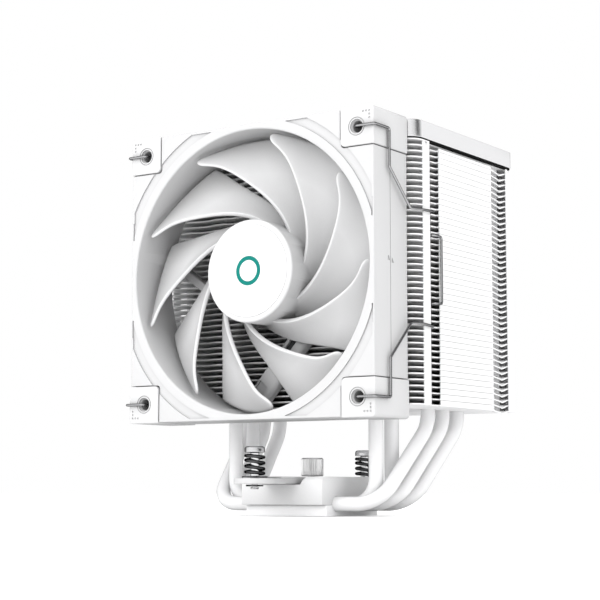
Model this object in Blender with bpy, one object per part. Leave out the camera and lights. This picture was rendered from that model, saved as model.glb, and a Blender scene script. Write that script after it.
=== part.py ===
"""CPU tower air cooler: nickel-white base, five heat pipes, one fin stack,
a 120 mm axial fan held by two spring-wire clips, and a sprung crossbar.

+Z is up and the origin is the centre of the contact face under the base
plate.  The fan blows along +Y, so its open front faces -Y, and +X is on the
right of someone who looks at that front.  Dimensions are in millimetres;
add_object turns them into metres.
"""
import math

import bmesh
import bpy
from mathutils import Matrix, Vector

MM = 0.001

# ------------------------------------------------- dimensions shared by parts
PIPE_R, PIPE_PITCH, PIPE_Z = 3.0, 6.2, 5.0     # PIPE_Z: axis height in the base
PIPE_ROWS = range(-2, 3)                       # even rows are outer pipes

FIN_HALF_X, FIN_FRONT, FIN_REAR = 63.5, -21.3, 63.4
STACK_BOTTOM, STACK_TOP = 43.9, 150.25

THUMB_HOLE_R = 2.4
BASE_HOLE_CUT_TOP = 20.0                       # cutters for block and bar holes end here

FAN_HALF, FAN_DEPTH, FAN_Z = 60.0, 25.0, 98.4
FAN_REAR = FIN_FRONT - 1.0
FAN_FRONT = FAN_REAR - FAN_DEPTH
FAN_AXIS = (0, 0, FAN_Z)
PAD, PAD_PROUD, GAP = 15.0, 0.35, 0.3
FAN_HOLE = FAN_HALF - PAD / 2                  # screw hole from the fan's axis

# ----------------------------------------------------------------- materials
MATERIALS = {
    "white_coating": dict(colour=(0.86, 0.86, 0.86), roughness=0.45),
    "white_fin_coating": dict(colour=(0.84, 0.84, 0.84), roughness=0.5),
    "cover_paint": dict(colour=(0.82, 0.82, 0.83), roughness=0.25, metallic=0.1),
    "fan_frame_plastic": dict(colour=(0.87, 0.87, 0.87), roughness=0.5),
    "fan_blade_plastic": dict(colour=(0.84, 0.84, 0.84), roughness=0.45),
    "pad_rubber": dict(colour=(0.86, 0.86, 0.86), roughness=0.75),
    "bright_steel": dict(colour=(0.75, 0.75, 0.76), roughness=0.25, metallic=1.0),
    "black_spring_steel": dict(colour=(0.02, 0.02, 0.02), roughness=0.35, metallic=0.6),
    "nickel_plate": dict(colour=(0.8, 0.8, 0.79), roughness=0.3, metallic=0.9),
    "badge_face": dict(colour=(0.92, 0.92, 0.92), roughness=0.3),
    "winding_copper": dict(colour=(0.72, 0.35, 0.16), roughness=0.4, metallic=0.9),
    "stator_lamination": dict(colour=(0.35, 0.35, 0.37), roughness=0.5, metallic=0.8),
    "motor_board": dict(colour=(0.04, 0.2, 0.1), roughness=0.5),
    "magnet_ring": dict(colour=(0.09, 0.09, 0.09), roughness=0.7),
    "sleeve_brass": dict(colour=(0.75, 0.58, 0.25), roughness=0.35, metallic=1.0),
    "cable_sleeve": dict(colour=(0.8, 0.8, 0.8), roughness=0.7),
}


def make_material(name, colour, roughness, metallic=0.0):
    mat = bpy.data.materials.new(name)
    mat.use_nodes = True
    shader = mat.node_tree.nodes.get("Principled BSDF")
    shader.inputs["Base Color"].default_value = (*colour, 1.0)
    shader.inputs["Roughness"].default_value = roughness
    shader.inputs["Metallic"].default_value = metallic


# ------------------------------------------------------------ object helpers
def clear_scene():
    for ob in list(bpy.data.objects):
        bpy.data.objects.remove(ob, do_unlink=True)


def add_object(name, bm, mat=None, sharp=None, origin=(0, 0, 0)):
    """Make an object from a bmesh in millimetres.

    mat names a material; sharp is the angle in degrees above which edges of
    a smooth-shaded mesh stay sharp.
    """
    origin = Vector(origin)
    bmesh.ops.recalc_face_normals(bm, faces=bm.faces)
    if bm.calc_volume(signed=True) < 0:
        bmesh.ops.reverse_faces(bm, faces=bm.faces)
    for v in bm.verts:
        v.co = (v.co - origin) * MM
    mesh = bpy.data.meshes.new(name)
    bm.to_mesh(mesh)
    bm.free()
    ob = bpy.data.objects.new(name, mesh)
    bpy.context.scene.collection.objects.link(ob)
    ob.location = origin * MM
    if mat is not None:
        mesh.materials.append(bpy.data.materials[mat])
    if sharp is not None:
        mesh.shade_smooth()
        mesh.set_sharp_from_angle(angle=math.radians(sharp))
    return ob


def add_helper(name, bm):
    """A hidden body that boolean modifiers subtract or add."""
    ob = add_object(name, bm)
    ob.hide_render = True
    ob.display_type = 'WIRE'
    return ob


def boolean(ob, other, op='DIFFERENCE', solver='EXACT'):
    mod = ob.modifiers.new(op.title(), 'BOOLEAN')
    mod.operation = op
    mod.solver = solver
    mod.object = other


# ------------------------------------------------------------- shape helpers
def bridge(bm, ring, other):
    """Join two rings of equally many vertices with quads."""
    for k in range(len(ring)):
        after = (k + 1) % len(ring)
        bm.faces.new((ring[k], ring[after], other[after], other[k]))


def prism(points, lo, hi, axis='Z'):
    """Extrude a closed outline: (x, y) along Z, (x, z) along Y, (y, z) along X."""
    def place(a, b, h):
        return {'Z': (a, b, h), 'Y': (a, h, b), 'X': (h, a, b)}[axis]
    bm = bmesh.new()
    low = [bm.verts.new(place(a, b, lo)) for a, b in points]
    top = [bm.verts.new(place(a, b, hi)) for a, b in points]
    bm.faces.new(low)
    bm.faces.new(list(reversed(top)))
    for i in range(len(points)):
        j = (i + 1) % len(points)
        bm.faces.new((low[j], low[i], top[i], top[j]))
    return bm


def box(lo, hi):
    return prism([(lo[0], lo[1]), (hi[0], lo[1]), (hi[0], hi[1]), (lo[0], hi[1])],
                 lo[2], hi[2])


def arc(cx, cy, radius, start, end, steps):
    """Points of an arc; the angles are in degrees."""
    angles = [math.radians(start + (end - start) * i / steps) for i in range(steps + 1)]
    return [(cx + radius * math.cos(a), cy + radius * math.sin(a)) for a in angles]


def mirrored(points):
    """The points reflected in x = 0, in reverse order."""
    return [(-x, y) for x, y in reversed(points)]


def turned(profile, segments, axis='Z', centre=(0, 0, 0)):
    """Revolve a closed profile of (radius, height) around an axis through centre."""
    bm = bmesh.new()
    centre = Vector(centre)

    def place(radius, height, angle):
        a, b = radius * math.cos(angle), radius * math.sin(angle)
        return centre + Vector((a, b, height) if axis == 'Z' else (a, height, b))
    rings = []
    for radius, height in profile:
        count = 1 if radius < 1e-6 else segments
        rings.append([bm.verts.new(place(radius, height, 2 * math.pi * k / segments))
                      for k in range(count)])
    for ring, other in zip(rings, rings[1:] + rings[:1]):
        if len(ring) == len(other) == 1:
            continue
        if len(ring) == len(other):
            bridge(bm, ring, other)
            continue
        for k in range(segments):
            after = (k + 1) % segments
            if len(ring) == 1:
                bm.faces.new((ring[0], other[after], other[k]))
            else:
                bm.faces.new((ring[k], ring[after], other[0]))
    return bm


def tube_profile(inner, outer, lo, hi):
    return [(inner, lo), (outer, lo), (outer, hi), (inner, hi)]


def cylinder(radius, lo, hi, segments, axis='Z', centre=(0, 0, 0)):
    return turned(tube_profile(0, radius, lo, hi), segments, axis, centre)


def rounded_path(points, radii, step_deg):
    """Fillet the inner corners of a polyline, one radius for each corner."""
    pts = [Vector(p) for p in points]
    path = [pts[0]]
    for before, corner, after, radius in zip(pts, pts[1:], pts[2:], radii):
        back = (before - corner).normalized()
        ahead = (after - corner).normalized()
        turn = math.pi - back.angle(ahead)
        setback = radius * math.tan(turn / 2)
        centre = corner + (back + ahead).normalized() * (radius / math.cos(turn / 2))
        start = corner + back * setback - centre
        axis = start.cross(corner + ahead * setback - centre).normalized()
        steps = max(1, int(round(math.degrees(turn) / step_deg)))
        for k in range(steps + 1):
            path.append(centre + Matrix.Rotation(turn * k / steps, 3, axis) @ start)
    path.append(pts[-1])
    return path


def swept(path, radius, segments):
    """A round bar along a path, with frames carried along without twist."""
    bm = bmesh.new()
    steps = [(b - a).normalized() for a, b in zip(path, path[1:])]
    tangents = [(before + after).normalized()
                for before, after in zip(steps[:1] + steps, steps + steps[-1:])]
    reference = Vector((0, 0, 1)) if abs(tangents[0].z) < 0.9 else Vector((1, 0, 0))
    across = reference.cross(tangents[0]).normalized()
    angles = [2 * math.pi * k / segments for k in range(segments)]
    rings = []
    for point, tangent in zip(path, tangents):
        across = (across - tangent * across.dot(tangent)).normalized()
        normal = tangent.cross(across)
        rings.append([bm.verts.new(
            point + (across * math.cos(a) + normal * math.sin(a)) * radius)
            for a in angles])
    for ring, other in zip(rings, rings[1:]):
        bridge(bm, ring, other)
    bm.faces.new(list(reversed(rings[0])))
    bm.faces.new(rings[-1])
    return bm


def merge(bodies):
    """Put several separate bodies in one mesh."""
    merged = bmesh.new()
    for body in bodies:
        mesh = bpy.data.meshes.new("tmp")
        body.to_mesh(mesh)
        body.free()
        merged.from_mesh(mesh)
        bpy.data.meshes.remove(mesh)
    return merged


# ---------------------------------------------------------------------- base
PLATE_HALF, PLATE_TOP, PLATE_CORNER = 20.0, 4.25, 0.5
BLOCK_HALF_X, BLOCK_HALF_Y, BLOCK_CHAMFER = PLATE_HALF, 23.0, 1.4
BLOCK_BOTTOM, BLOCK_TOP = PLATE_TOP + 0.3, 16.0
PIPE_GROOVE_R = PIPE_R + 0.3
CHANNEL_HALF_TOP, CHANNEL_HALF_BOTTOM, CHANNEL_FLOOR = 11.5, 9.3, 12.7
CHANNEL_OVERSHOOT = 0.6                        # cutter above the block / channel depth
THUMB_HOLE_BOTTOM = 9.2
BASE_CUT_HALF = 30.0                           # half length of groove and channel cutters


def add_groove_cutter():
    """One outline around all five pipe grooves, so that neighbours join cleanly."""
    limit = math.degrees(math.asin(PIPE_PITCH / 2 / PIPE_GROOVE_R))
    outline = []
    # the lower side going +Y, then the upper side going -Y
    for middle, way in ((-90, 1), (90, -1)):
        for row in range(-2 * way, 3 * way, way):
            first = middle - (90 if row == -2 * way else limit)
            last = middle + (90 if row == 2 * way else limit)
            outline += arc(row * PIPE_PITCH, PIPE_Z, PIPE_GROOVE_R, first, last, 5)[:-1]
    return add_helper("cut_pipe_grooves", prism(outline, -BASE_CUT_HALF, BASE_CUT_HALF, 'X'))


def build_base_plate(grooves):
    h, c = PLATE_HALF, PLATE_HALF - PLATE_CORNER
    outline = [(-c, -h), (c, -h), (h, -c), (h, c), (c, h), (-c, h), (-h, c), (-h, -c)]
    plate = add_object("base_plate", prism(outline, 0.0, PLATE_TOP), "nickel_plate", 30)
    boolean(plate, grooves)


def build_base_block(grooves):
    half, chamfer = BLOCK_HALF_Y, BLOCK_CHAMFER
    block = add_object("base_block", prism(
        [(-half, BLOCK_BOTTOM), (half, BLOCK_BOTTOM),
         (half, BLOCK_TOP - chamfer), (half - chamfer, BLOCK_TOP),
         (-half + chamfer, BLOCK_TOP), (-half, BLOCK_TOP - chamfer)],
        -BLOCK_HALF_X, BLOCK_HALF_X, 'X'), "white_coating", 30)
    # sloping channel for the crossbar, with the slope carried on above the block
    top = BLOCK_TOP + (BLOCK_TOP - CHANNEL_FLOOR) * CHANNEL_OVERSHOOT
    wide = CHANNEL_HALF_TOP + (CHANNEL_HALF_TOP - CHANNEL_HALF_BOTTOM) * CHANNEL_OVERSHOOT
    channel = add_helper("cut_bar_channel", prism(
        [(-CHANNEL_HALF_BOTTOM, CHANNEL_FLOOR), (CHANNEL_HALF_BOTTOM, CHANNEL_FLOOR),
         (wide, top), (-wide, top)], -BASE_CUT_HALF, BASE_CUT_HALF, 'Y'))
    hole = add_helper("cut_thumb_screw_hole", cylinder(
        THUMB_HOLE_R, THUMB_HOLE_BOTTOM, BASE_HOLE_CUT_TOP, 16))
    for helper in (grooves, channel, hole):
        boolean(block, helper)


# ---------------------------------------------------------------- heat pipes
PIPE_TOP = 153.6
INNER_LEG_X, INNER_BEND_R = 35.2, 10.5
OUTER_LEG_X, OUTER_SHIFT_Y = 46.0, 30.0
OUTER_KNEE_X, OUTER_KNEE_Z = 40.5, 37.0
OUTER_BEND_LOW, OUTER_BEND_HIGH = 12.0, 14.0


def is_outer(row):
    return row % 2 == 0


def leg_place(row):
    """x and y of a pipe's right-hand leg; the left-hand one is at -x."""
    if is_outer(row):
        return OUTER_LEG_X, row * PIPE_PITCH + OUTER_SHIFT_Y
    return INNER_LEG_X, row * PIPE_PITCH


def pipe_path(row):
    base_y = row * PIPE_PITCH
    x, y = leg_place(row)
    if is_outer(row):
        right = [(OUTER_KNEE_X, base_y, PIPE_Z), (x, y, OUTER_KNEE_Z), (x, y, PIPE_TOP)]
        radii, step = [OUTER_BEND_LOW, OUTER_BEND_HIGH], 20.0
    else:
        right = [(x, y, PIPE_Z), (x, y, PIPE_TOP)]
        radii, step = [INNER_BEND_R], 22.5
    left = [(-a, b, c) for a, b, c in reversed(right)]
    return rounded_path(left + right, radii[::-1] + radii, step)


def build_pipes():
    for i, row in enumerate(PIPE_ROWS):
        add_object("heat_pipe_%d" % (i + 1), swept(pipe_path(row), PIPE_R, 10),
                   "white_coating", 50)


# ----------------------------------------------------- fin stack and its cover
FIN_T, FIN_COUNT = 0.5, 23
FIN_FRONT_CORNER_R, FIN_REAR_CORNER_R = 6.0, 2.0
FIN_HOLE_HALF = PIPE_R + 0.4                   # half side of the square pipe holes
FIN_CUT_MARGIN = 5.0
GROOVE_FRONT, GROOVE_REAR, GROOVE_FLOOR_X = -10.0, -2.3, 60.0
SHELF_X, SHELF_FRONT = 61.8, -6.6              # shallower rear part of the clip groove
NOTCH_FRONT, NOTCH_REAR, NOTCH_X = 50.5, 57.1, 61.8
# clip groove and notch in the right-hand side of a fin: (x, y)
SIDE_CUTS = [
    (FIN_HALF_X, GROOVE_FRONT), (GROOVE_FLOOR_X, GROOVE_FRONT),
    (GROOVE_FLOOR_X, SHELF_FRONT), (SHELF_X, SHELF_FRONT),
    (SHELF_X, GROOVE_REAR), (FIN_HALF_X, GROOVE_REAR),
    (FIN_HALF_X, NOTCH_FRONT), (NOTCH_X, NOTCH_FRONT + 1.0), (FIN_HALF_X, NOTCH_REAR),
]
# folded side bands that close the gaps between fins: (first y, last y)
BAND_DEPTH = 1.2
SIDE_BANDS = [(-15.6, GROOVE_FRONT + 1.5), (GROOVE_REAR - 1.5, 43.7),
              (NOTCH_REAR - 0.6, 61.4)]

COVER_BOTTOM, COVER_TOP, COVER_WALL = STACK_TOP + 0.7, 158.0, 1.3
COVER_CUT_MARGIN = 3.0


def fin_outline(side_cuts, front_steps, rear_steps):
    """Closed outline, built from its right-hand side going from front to rear."""
    front_r, rear_r = FIN_FRONT_CORNER_R, FIN_REAR_CORNER_R
    right = arc(FIN_HALF_X - front_r, FIN_FRONT + front_r, front_r, -90, 0, front_steps)
    right += side_cuts
    right += arc(FIN_HALF_X - rear_r, FIN_REAR - rear_r, rear_r, 0, 90, rear_steps)
    return right + mirrored(right)


def fin_hole_bodies():
    half, margin = FIN_HOLE_HALF, FIN_CUT_MARGIN
    legs = []
    for row in PIPE_ROWS:
        leg_x, y = leg_place(row)
        legs += [box((x - half, y - half, STACK_BOTTOM - margin),
                     (x + half, y + half, STACK_TOP + margin)) for x in (leg_x, -leg_x)]
    return legs


def fin_gap_bodies():
    """The open air between fins; the side bands stay solid."""
    band_x, outside = FIN_HALF_X - BAND_DEPTH, FIN_HALF_X + FIN_CUT_MARGIN
    side = [(outside, FIN_FRONT - FIN_CUT_MARGIN)]
    for first, last in SIDE_BANDS:
        side += [(outside, first), (band_x, first), (band_x, last), (outside, last)]
    side.append((outside, FIN_REAR + FIN_CUT_MARGIN))
    outline = side + mirrored(side)
    pitch = (STACK_TOP - STACK_BOTTOM - FIN_T) / (FIN_COUNT - 1)
    bottoms = [STACK_BOTTOM + FIN_T + i * pitch for i in range(FIN_COUNT - 1)]
    return [prism(outline, z, z + pitch - FIN_T) for z in bottoms]


def build_fin_stack():
    stack = add_object("fin_stack", prism(fin_outline(SIDE_CUTS, 2, 1),
                                          STACK_BOTTOM, STACK_TOP), "white_fin_coating")
    boolean(stack, add_helper("cut_fin_holes", merge(fin_hole_bodies())))
    boolean(stack, add_helper("cut_fin_gaps", merge(fin_gap_bodies())))


def build_top_cover():
    outline = fin_outline([], 5, 3)
    cover = add_object("top_cover", prism(outline, COVER_BOTTOM, COVER_TOP),
                       "cover_paint", 40)
    # the pocket is the outline scaled about its middle
    middle_y = (FIN_FRONT + FIN_REAR) / 2
    scale_x = 1.0 - COVER_WALL / FIN_HALF_X
    scale_y = 1.0 - COVER_WALL / ((FIN_REAR - FIN_FRONT) / 2)
    inner = [(x * scale_x, middle_y + (y - middle_y) * scale_y) for x, y in outline]
    boolean(cover, add_helper("cut_cover_pocket", prism(
        inner, COVER_BOTTOM - COVER_CUT_MARGIN, COVER_TOP - COVER_WALL)))


# ------------------------------------------------------------------ crossbar
BAR_BOTTOM, BAR_EAR_TOP, BAR_TOP = 13.0, 15.2, 16.0
BAR_SCREW_Y, BAR_END_R, BAR_WAIST = 41.5, 8.4, 7.2
BAR_RIB_HALF_X, BAR_RIB_HALF_Y, BAR_RIB_BOTTOM = BAR_WAIST - 0.2, 32.0, BAR_BOTTOM + 0.5
BAR_HOLE_R, BAR_HOLE_CUT_BOTTOM = 2.3, 10.0
BAR_RELIEF, BAR_RELIEF_HALF_Y, BAR_CUT_MARGIN = 0.2, 30.0, 2.0


def build_crossbar():
    screw_y, end_r = BAR_SCREW_Y, BAR_END_R
    neck = math.degrees(math.asin(BAR_WAIST / end_r))
    right = arc(0, -screw_y, end_r, -90, 90 - neck, 6)
    right += arc(0, screw_y, end_r, -90 + neck, 90, 6)
    bar = add_object("crossbar", prism(right + mirrored(right)[1:-1],
                                       BAR_BOTTOM, BAR_EAR_TOP), "white_coating", 30)
    boolean(bar, add_helper("cut_bar_rib", box(
        (-BAR_RIB_HALF_X, -BAR_RIB_HALF_Y, BAR_RIB_BOTTOM),
        (BAR_RIB_HALF_X, BAR_RIB_HALF_Y, BAR_TOP))), 'UNION')
    holes = [cylinder(radius, BAR_HOLE_CUT_BOTTOM, BASE_HOLE_CUT_TOP, 16, 'Z', (0, y, 0))
             for y, radius in ((-screw_y, BAR_HOLE_R), (0, THUMB_HOLE_R),
                               (screw_y, BAR_HOLE_R))]
    boolean(bar, add_helper("cut_bar_holes", merge(holes)))
    # shallow relief under the middle, so the bar bears on its two ears
    half_x = end_r + BAR_CUT_MARGIN
    boolean(bar, add_helper("cut_bar_relief", box(
        (-half_x, -BAR_RELIEF_HALF_Y, BAR_BOTTOM - BAR_CUT_MARGIN),
        (half_x, BAR_RELIEF_HALF_Y, BAR_BOTTOM + BAR_RELIEF))))


# ----------------------------------------------------------------- fasteners
KNURL_R, KNURL_DEPTH, KNURL_POINTS = 4.8, 0.25, 24
KNURL_BOTTOM, KNURL_TOP = 16.4, 24.0
# height and scale of the knurled outline, going up
KNURL_LEVELS = [(KNURL_BOTTOM, 0.93), (KNURL_BOTTOM + 0.5, 1.0),
                (KNURL_TOP - 0.6, 1.0), (KNURL_TOP, 0.9)]
THUMB_SHANK_R, THUMB_TIP = 2.0, 9.6

WASHER = dict(inner=2.1, outer=5.2, lo=15.5, hi=16.0)

SPRING_BOTTOM, SPRING_TOP = 16.3, 25.2
SPRING_R, SPRING_WIRE_R, SPRING_PITCH = 3.6, 0.75, 2.36
SPRING_END_TURNS = 0.75                        # turns in each closed end
SPRING_END_RISE = 2 * SPRING_WIRE_R * 0.72

RETAINER_BOTTOM, RETAINER_TOP = 12.0, 12.7
RETAINER_OUTER_R, RETAINER_INNER_R = 3.5, 1.5

SCREW_R, SCREW_TIP, SCREW_TIP_R, SCREW_TIP_CHAMFER = 1.75, 10.9, 1.2, 0.4
SCREW_GROOVE_R, SCREW_GROOVE_CLEARANCE = 1.15, 0.3
SCREW_HEAD_R, SCREW_HEAD_BOTTOM, SCREW_HEAD_TOP = 4.1, 25.5, 28.0
SCREW_PROFILE = [
    (0, SCREW_TIP), (SCREW_TIP_R, SCREW_TIP), (SCREW_R, SCREW_TIP + SCREW_TIP_CHAMFER),
    (SCREW_R, RETAINER_BOTTOM - SCREW_GROOVE_CLEARANCE),
    (SCREW_GROOVE_R, RETAINER_BOTTOM - SCREW_GROOVE_CLEARANCE),
    (SCREW_GROOVE_R, RETAINER_TOP + SCREW_GROOVE_CLEARANCE),
    (SCREW_R, RETAINER_TOP + SCREW_GROOVE_CLEARANCE),
    (SCREW_R, SCREW_HEAD_BOTTOM), (SCREW_HEAD_R - 0.5, SCREW_HEAD_BOTTOM),
    (SCREW_HEAD_R, SCREW_HEAD_BOTTOM + 0.5), (SCREW_HEAD_R, SCREW_HEAD_TOP - 0.7),
    (SCREW_HEAD_R - 0.8, SCREW_HEAD_TOP), (0, SCREW_HEAD_TOP),
]
DRIVE_ARM, DRIVE_HALF_W, DRIVE_DEPTH, DRIVE_OVERSHOOT = 2.4, 0.45, 1.2, 2.0


def build_thumb_screw():
    """Knurled screw that holds the crossbar to the block."""
    shank = [THUMB_SHANK_R] * KNURL_POINTS
    knurl = [KNURL_R - KNURL_DEPTH * (i % 2) for i in range(KNURL_POINTS)]
    stations = [(THUMB_TIP, shank), (KNURL_BOTTOM, shank)]
    stations += [(z, [radius * scale for radius in knurl]) for z, scale in KNURL_LEVELS]
    angles = [2 * math.pi * i / KNURL_POINTS for i in range(KNURL_POINTS)]
    bm = bmesh.new()
    rings = [[bm.verts.new((radius * math.cos(a), radius * math.sin(a), z))
              for radius, a in zip(radii, angles)] for z, radii in stations]
    for ring, other in zip(rings, rings[1:]):
        bridge(bm, ring, other)
    bm.faces.new(list(reversed(rings[0])))
    bm.faces.new(rings[-1])
    add_object("thumb_screw", bm, "bright_steel", 30, (0, 0, KNURL_BOTTOM))


def build_washer(tag, y):
    add_object("washer_" + tag, turned(tube_profile(**WASHER), 16, 'Z', (0, y, 0)),
               "black_spring_steel", 30, (0, y, WASHER["lo"]))


def build_spring(tag, y):
    """Compression spring: open turns between two closed ends."""
    lo, hi = SPRING_BOTTOM + SPRING_WIRE_R, SPRING_TOP - SPRING_WIRE_R
    ends, rise = SPRING_END_TURNS, SPRING_END_RISE
    turns = (hi - lo - 2 * rise) / SPRING_PITCH + 2 * ends
    steps = int(turns * 8)
    path = []
    for i in range(steps + 1):
        turn = turns * i / steps
        if turn < ends:
            z = lo + rise * turn / ends
        elif turn > turns - ends:
            z = hi - rise * (turns - turn) / ends
        else:
            z = lo + rise + (turn - ends) * SPRING_PITCH
        angle = -2 * math.pi * turn
        path.append(Vector((SPRING_R * math.cos(angle), y + SPRING_R * math.sin(angle), z)))
    add_object("spring_" + tag, swept(path, SPRING_WIRE_R, 5), "black_spring_steel", 60,
               (0, y, SPRING_BOTTOM))


def build_spring_screw(tag, y):
    """Shouldered screw: thread end, retainer groove, plain shank, turned head."""
    screw = add_object("spring_screw_" + tag, turned(SCREW_PROFILE, 12, 'Z', (0, y, 0)),
                       "bright_steel", 30, (0, y, SCREW_HEAD_BOTTOM))
    arm, half = DRIVE_ARM, DRIVE_HALF_W
    cross = [(-half, -arm), (half, -arm), (half, -half), (arm, -half),
             (arm, half), (half, half), (half, arm), (-half, arm),
             (-half, half), (-arm, half), (-arm, -half), (-half, -half)]
    boolean(screw, add_helper("cut_drive_" + tag, prism(
        [(a, y + b) for a, b in cross],
        SCREW_HEAD_TOP - DRIVE_DEPTH, SCREW_HEAD_TOP + DRIVE_OVERSHOOT)))


def build_retainer(tag, y):
    """Open ring that snaps in the screw's groove."""
    ring = arc(0, y, RETAINER_OUTER_R, 35, 325, 12)
    ring += reversed(arc(0, y, RETAINER_INNER_R, 45, 315, 10))
    add_object("retainer_" + tag, prism(ring, RETAINER_BOTTOM, RETAINER_TOP),
               "bright_steel", 30, (0, y, RETAINER_BOTTOM))


def build_retention():
    build_crossbar()
    build_thumb_screw()
    for tag, y in (("front", -BAR_SCREW_Y), ("rear", BAR_SCREW_Y)):
        build_washer(tag, y)
        build_spring(tag, y)
        build_spring_screw(tag, y)
        build_retainer(tag, y)


# ----------------------------------------------------------------- fan frame
FAN_BORE_R, FAN_HOLE_R = 57.75, 2.2
# bore cutter: (radius, y), wider at the front
BORE_PROFILE = [
    (0, FAN_FRONT - 3), (FAN_BORE_R + 0.8, FAN_FRONT - 3),
    (FAN_BORE_R + 0.8, FAN_FRONT + 0.4), (FAN_BORE_R, FAN_FRONT + 1.6),
    (FAN_BORE_R, FAN_REAR + 3), (0, FAN_REAR + 3),
]
# motor base with the bearing tube standing forward from it: (radius, y)
MOTOR_BASE_R, MOTOR_BASE_FRONT = 22.5, -25.6
TUBE_OUTER_R, TUBE_INNER_R, TUBE_FRONT, TUBE_FLOOR = 4.8, 4.0, -40.0, -23.3
MOTOR_BASE_PROFILE = [
    (0, FAN_REAR), (MOTOR_BASE_R, FAN_REAR), (MOTOR_BASE_R, MOTOR_BASE_FRONT),
    (TUBE_OUTER_R, MOTOR_BASE_FRONT), (TUBE_OUTER_R, TUBE_FRONT),
    (TUBE_INNER_R, TUBE_FRONT), (TUBE_INNER_R, TUBE_FLOOR), (0, TUBE_FLOOR),
]
STRUT_FRONT, STRUT_REAR = -26.8, -22.6
# struts: width, distance of the centre line from the fan axis, tilt from +X
STRUT = (3.6, 23.7, math.radians(55.0))
CABLE_STRUT = (9.0, 26.0, math.radians(48.6))
STRUT_INNER_REACH, STRUT_LAP = 2.0, 1.2        # past the nearest point; into the frame

CABLE_START = 9.0                              # along the wide strut
# cable centre line after its start: (x, z) from the fan axis
CABLE_POINTS = [(-19.0, -57.0), (-33.0, -51.0), (-47.0, -38.5), (-60.5, -38.5)]
CABLE_CHANNEL_W, CABLE_CHANNEL_LAP, CABLE_CHANNEL_FRONT = 3.6, 1.6, -25.5
CABLE_CHANNEL_OVERSHOOT = Vector((-4, 0))      # past the frame's left side

PAD_CHAMFER, PAD_CORNER, PAD_CORNER_MIDDLE = 1.2, 1.6, 0.5
PAD_HOLE_MARGIN = 5.0


def strut_line(k):
    """Inner and outer end of strut k around the fan axis (k = 0 is the lowest)."""
    _, offset, tilt = CABLE_STRUT if k == 0 else STRUT
    along = Vector((math.cos(tilt), math.sin(tilt)))
    nearest = Vector((along.y, -along.x)) * offset
    reach = math.sqrt(FAN_BORE_R ** 2 - offset ** 2) + STRUT_LAP
    turn = Matrix.Rotation(-math.pi / 2 * k, 2)
    return turn @ (nearest + along * STRUT_INNER_REACH), turn @ (nearest - along * reach)


def bar_outline(start, end, width):
    """(x, z) outline of a straight bar between two points around the fan axis."""
    along = (end - start).normalized()
    side = Vector((-along.y, along.x)) * (width / 2)
    return [(p.x, FAN_Z + p.y) for p in (start - side, end - side, end + side, start + side)]


def cable_run():
    """Cable centre line across the fan's rear, as (x, z) from the fan axis."""
    inner, outer = strut_line(0)
    start = inner + (outer - inner).normalized() * CABLE_START
    return [start] + [Vector(p) for p in CABLE_POINTS]


def build_fan_frame():
    edge, notch = FAN_HALF, FAN_HALF - PAD - GAP
    corner = [(notch, edge), (notch, notch), (edge, notch)]
    outline = []
    for sx, sz in ((1, 1), (1, -1), (-1, -1), (-1, 1)):
        outline += [(sx * x, FAN_Z + sz * z) for x, z in corner[::sx * sz]]
    frame = add_object("fan_frame", prism(outline, FAN_FRONT, FAN_REAR, 'Y'),
                       "fan_frame_plastic", 30)
    boolean(frame, add_helper("cut_fan_bore", turned(BORE_PROFILE, 48, 'Y', FAN_AXIS)))
    boolean(frame, add_helper("cut_motor_base", turned(
        MOTOR_BASE_PROFILE, 24, 'Y', FAN_AXIS)), 'UNION')
    for k in range(4):
        width = (CABLE_STRUT if k == 0 else STRUT)[0]
        boolean(frame, add_helper("cut_strut_%d" % k, prism(
            bar_outline(*strut_line(k), width), STRUT_FRONT, STRUT_REAR, 'Y')), 'UNION')
    cut_cable_channel(frame)


def cut_cable_channel(frame):
    """Channel open to the rear, from the wide strut to the left side."""
    run = cable_run()
    run[-1] = run[-1] + CABLE_CHANNEL_OVERSHOOT
    for i, (start, end) in enumerate(zip(run, run[1:])):
        lap = (end - start).normalized() * CABLE_CHANNEL_LAP
        outline = bar_outline(start - lap, end + lap, CABLE_CHANNEL_W)
        # each cutter ends a little further back than the one before
        part = prism(outline, CABLE_CHANNEL_FRONT, FAN_REAR + 2 + 0.1 * i, 'Y')
        boolean(frame, add_helper("cut_cable_channel_%d" % i, part))


def build_corner_pads():
    """Four corner pads, each with its screw hole."""
    lo, hi = FAN_HALF - PAD, FAN_HALF + PAD_PROUD
    middle = hi - PAD_CORNER_MIDDLE
    outline = [(lo + PAD_CHAMFER, lo), (hi, lo), (hi, hi - PAD_CORNER), (middle, middle),
               (hi - PAD_CORNER, hi), (lo, hi), (lo, lo + PAD_CHAMFER)]
    for tag, sx, sz in (("top_left", -1, 1), ("top_right", 1, 1),
                        ("bottom_left", -1, -1), ("bottom_right", 1, -1)):
        points = [(sx * x, FAN_Z + sz * z) for x, z in outline]
        pad = add_object("corner_pad_" + tag, prism(
            points, FAN_FRONT - PAD_PROUD, FAN_REAR + PAD_PROUD, 'Y'), "pad_rubber", 30)
        hole = cylinder(FAN_HOLE_R, FAN_FRONT - PAD_HOLE_MARGIN, FAN_REAR + PAD_HOLE_MARGIN,
                        14, 'Y', (sx * FAN_HOLE, 0, FAN_Z + sz * FAN_HOLE))
        boolean(pad, add_helper("cut_pad_" + tag, hole))


# --------------------------------------------------------------------- motor
SLEEVE = dict(inner=1.8, outer=3.7, lo=-39.5, hi=-25.7)
BOARD = dict(inner=5.2, outer=15.0, lo=-27.4, hi=-26.2)
CORE_FRONT, CORE_REAR = -37.0, -31.0
CORE_MIDDLE = (CORE_FRONT + CORE_REAR) / 2
POLE_ROOT_R, POLE_HALF_W = 7.7, 2.0
POLE_SHOE_INNER_R, POLE_SHOE_OUTER_R, POLE_SHOE_DEG = 13.2, 15.2, 36
STATOR_BORE_R, STATOR_CUT = 5.1, (-45, -25)
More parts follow.
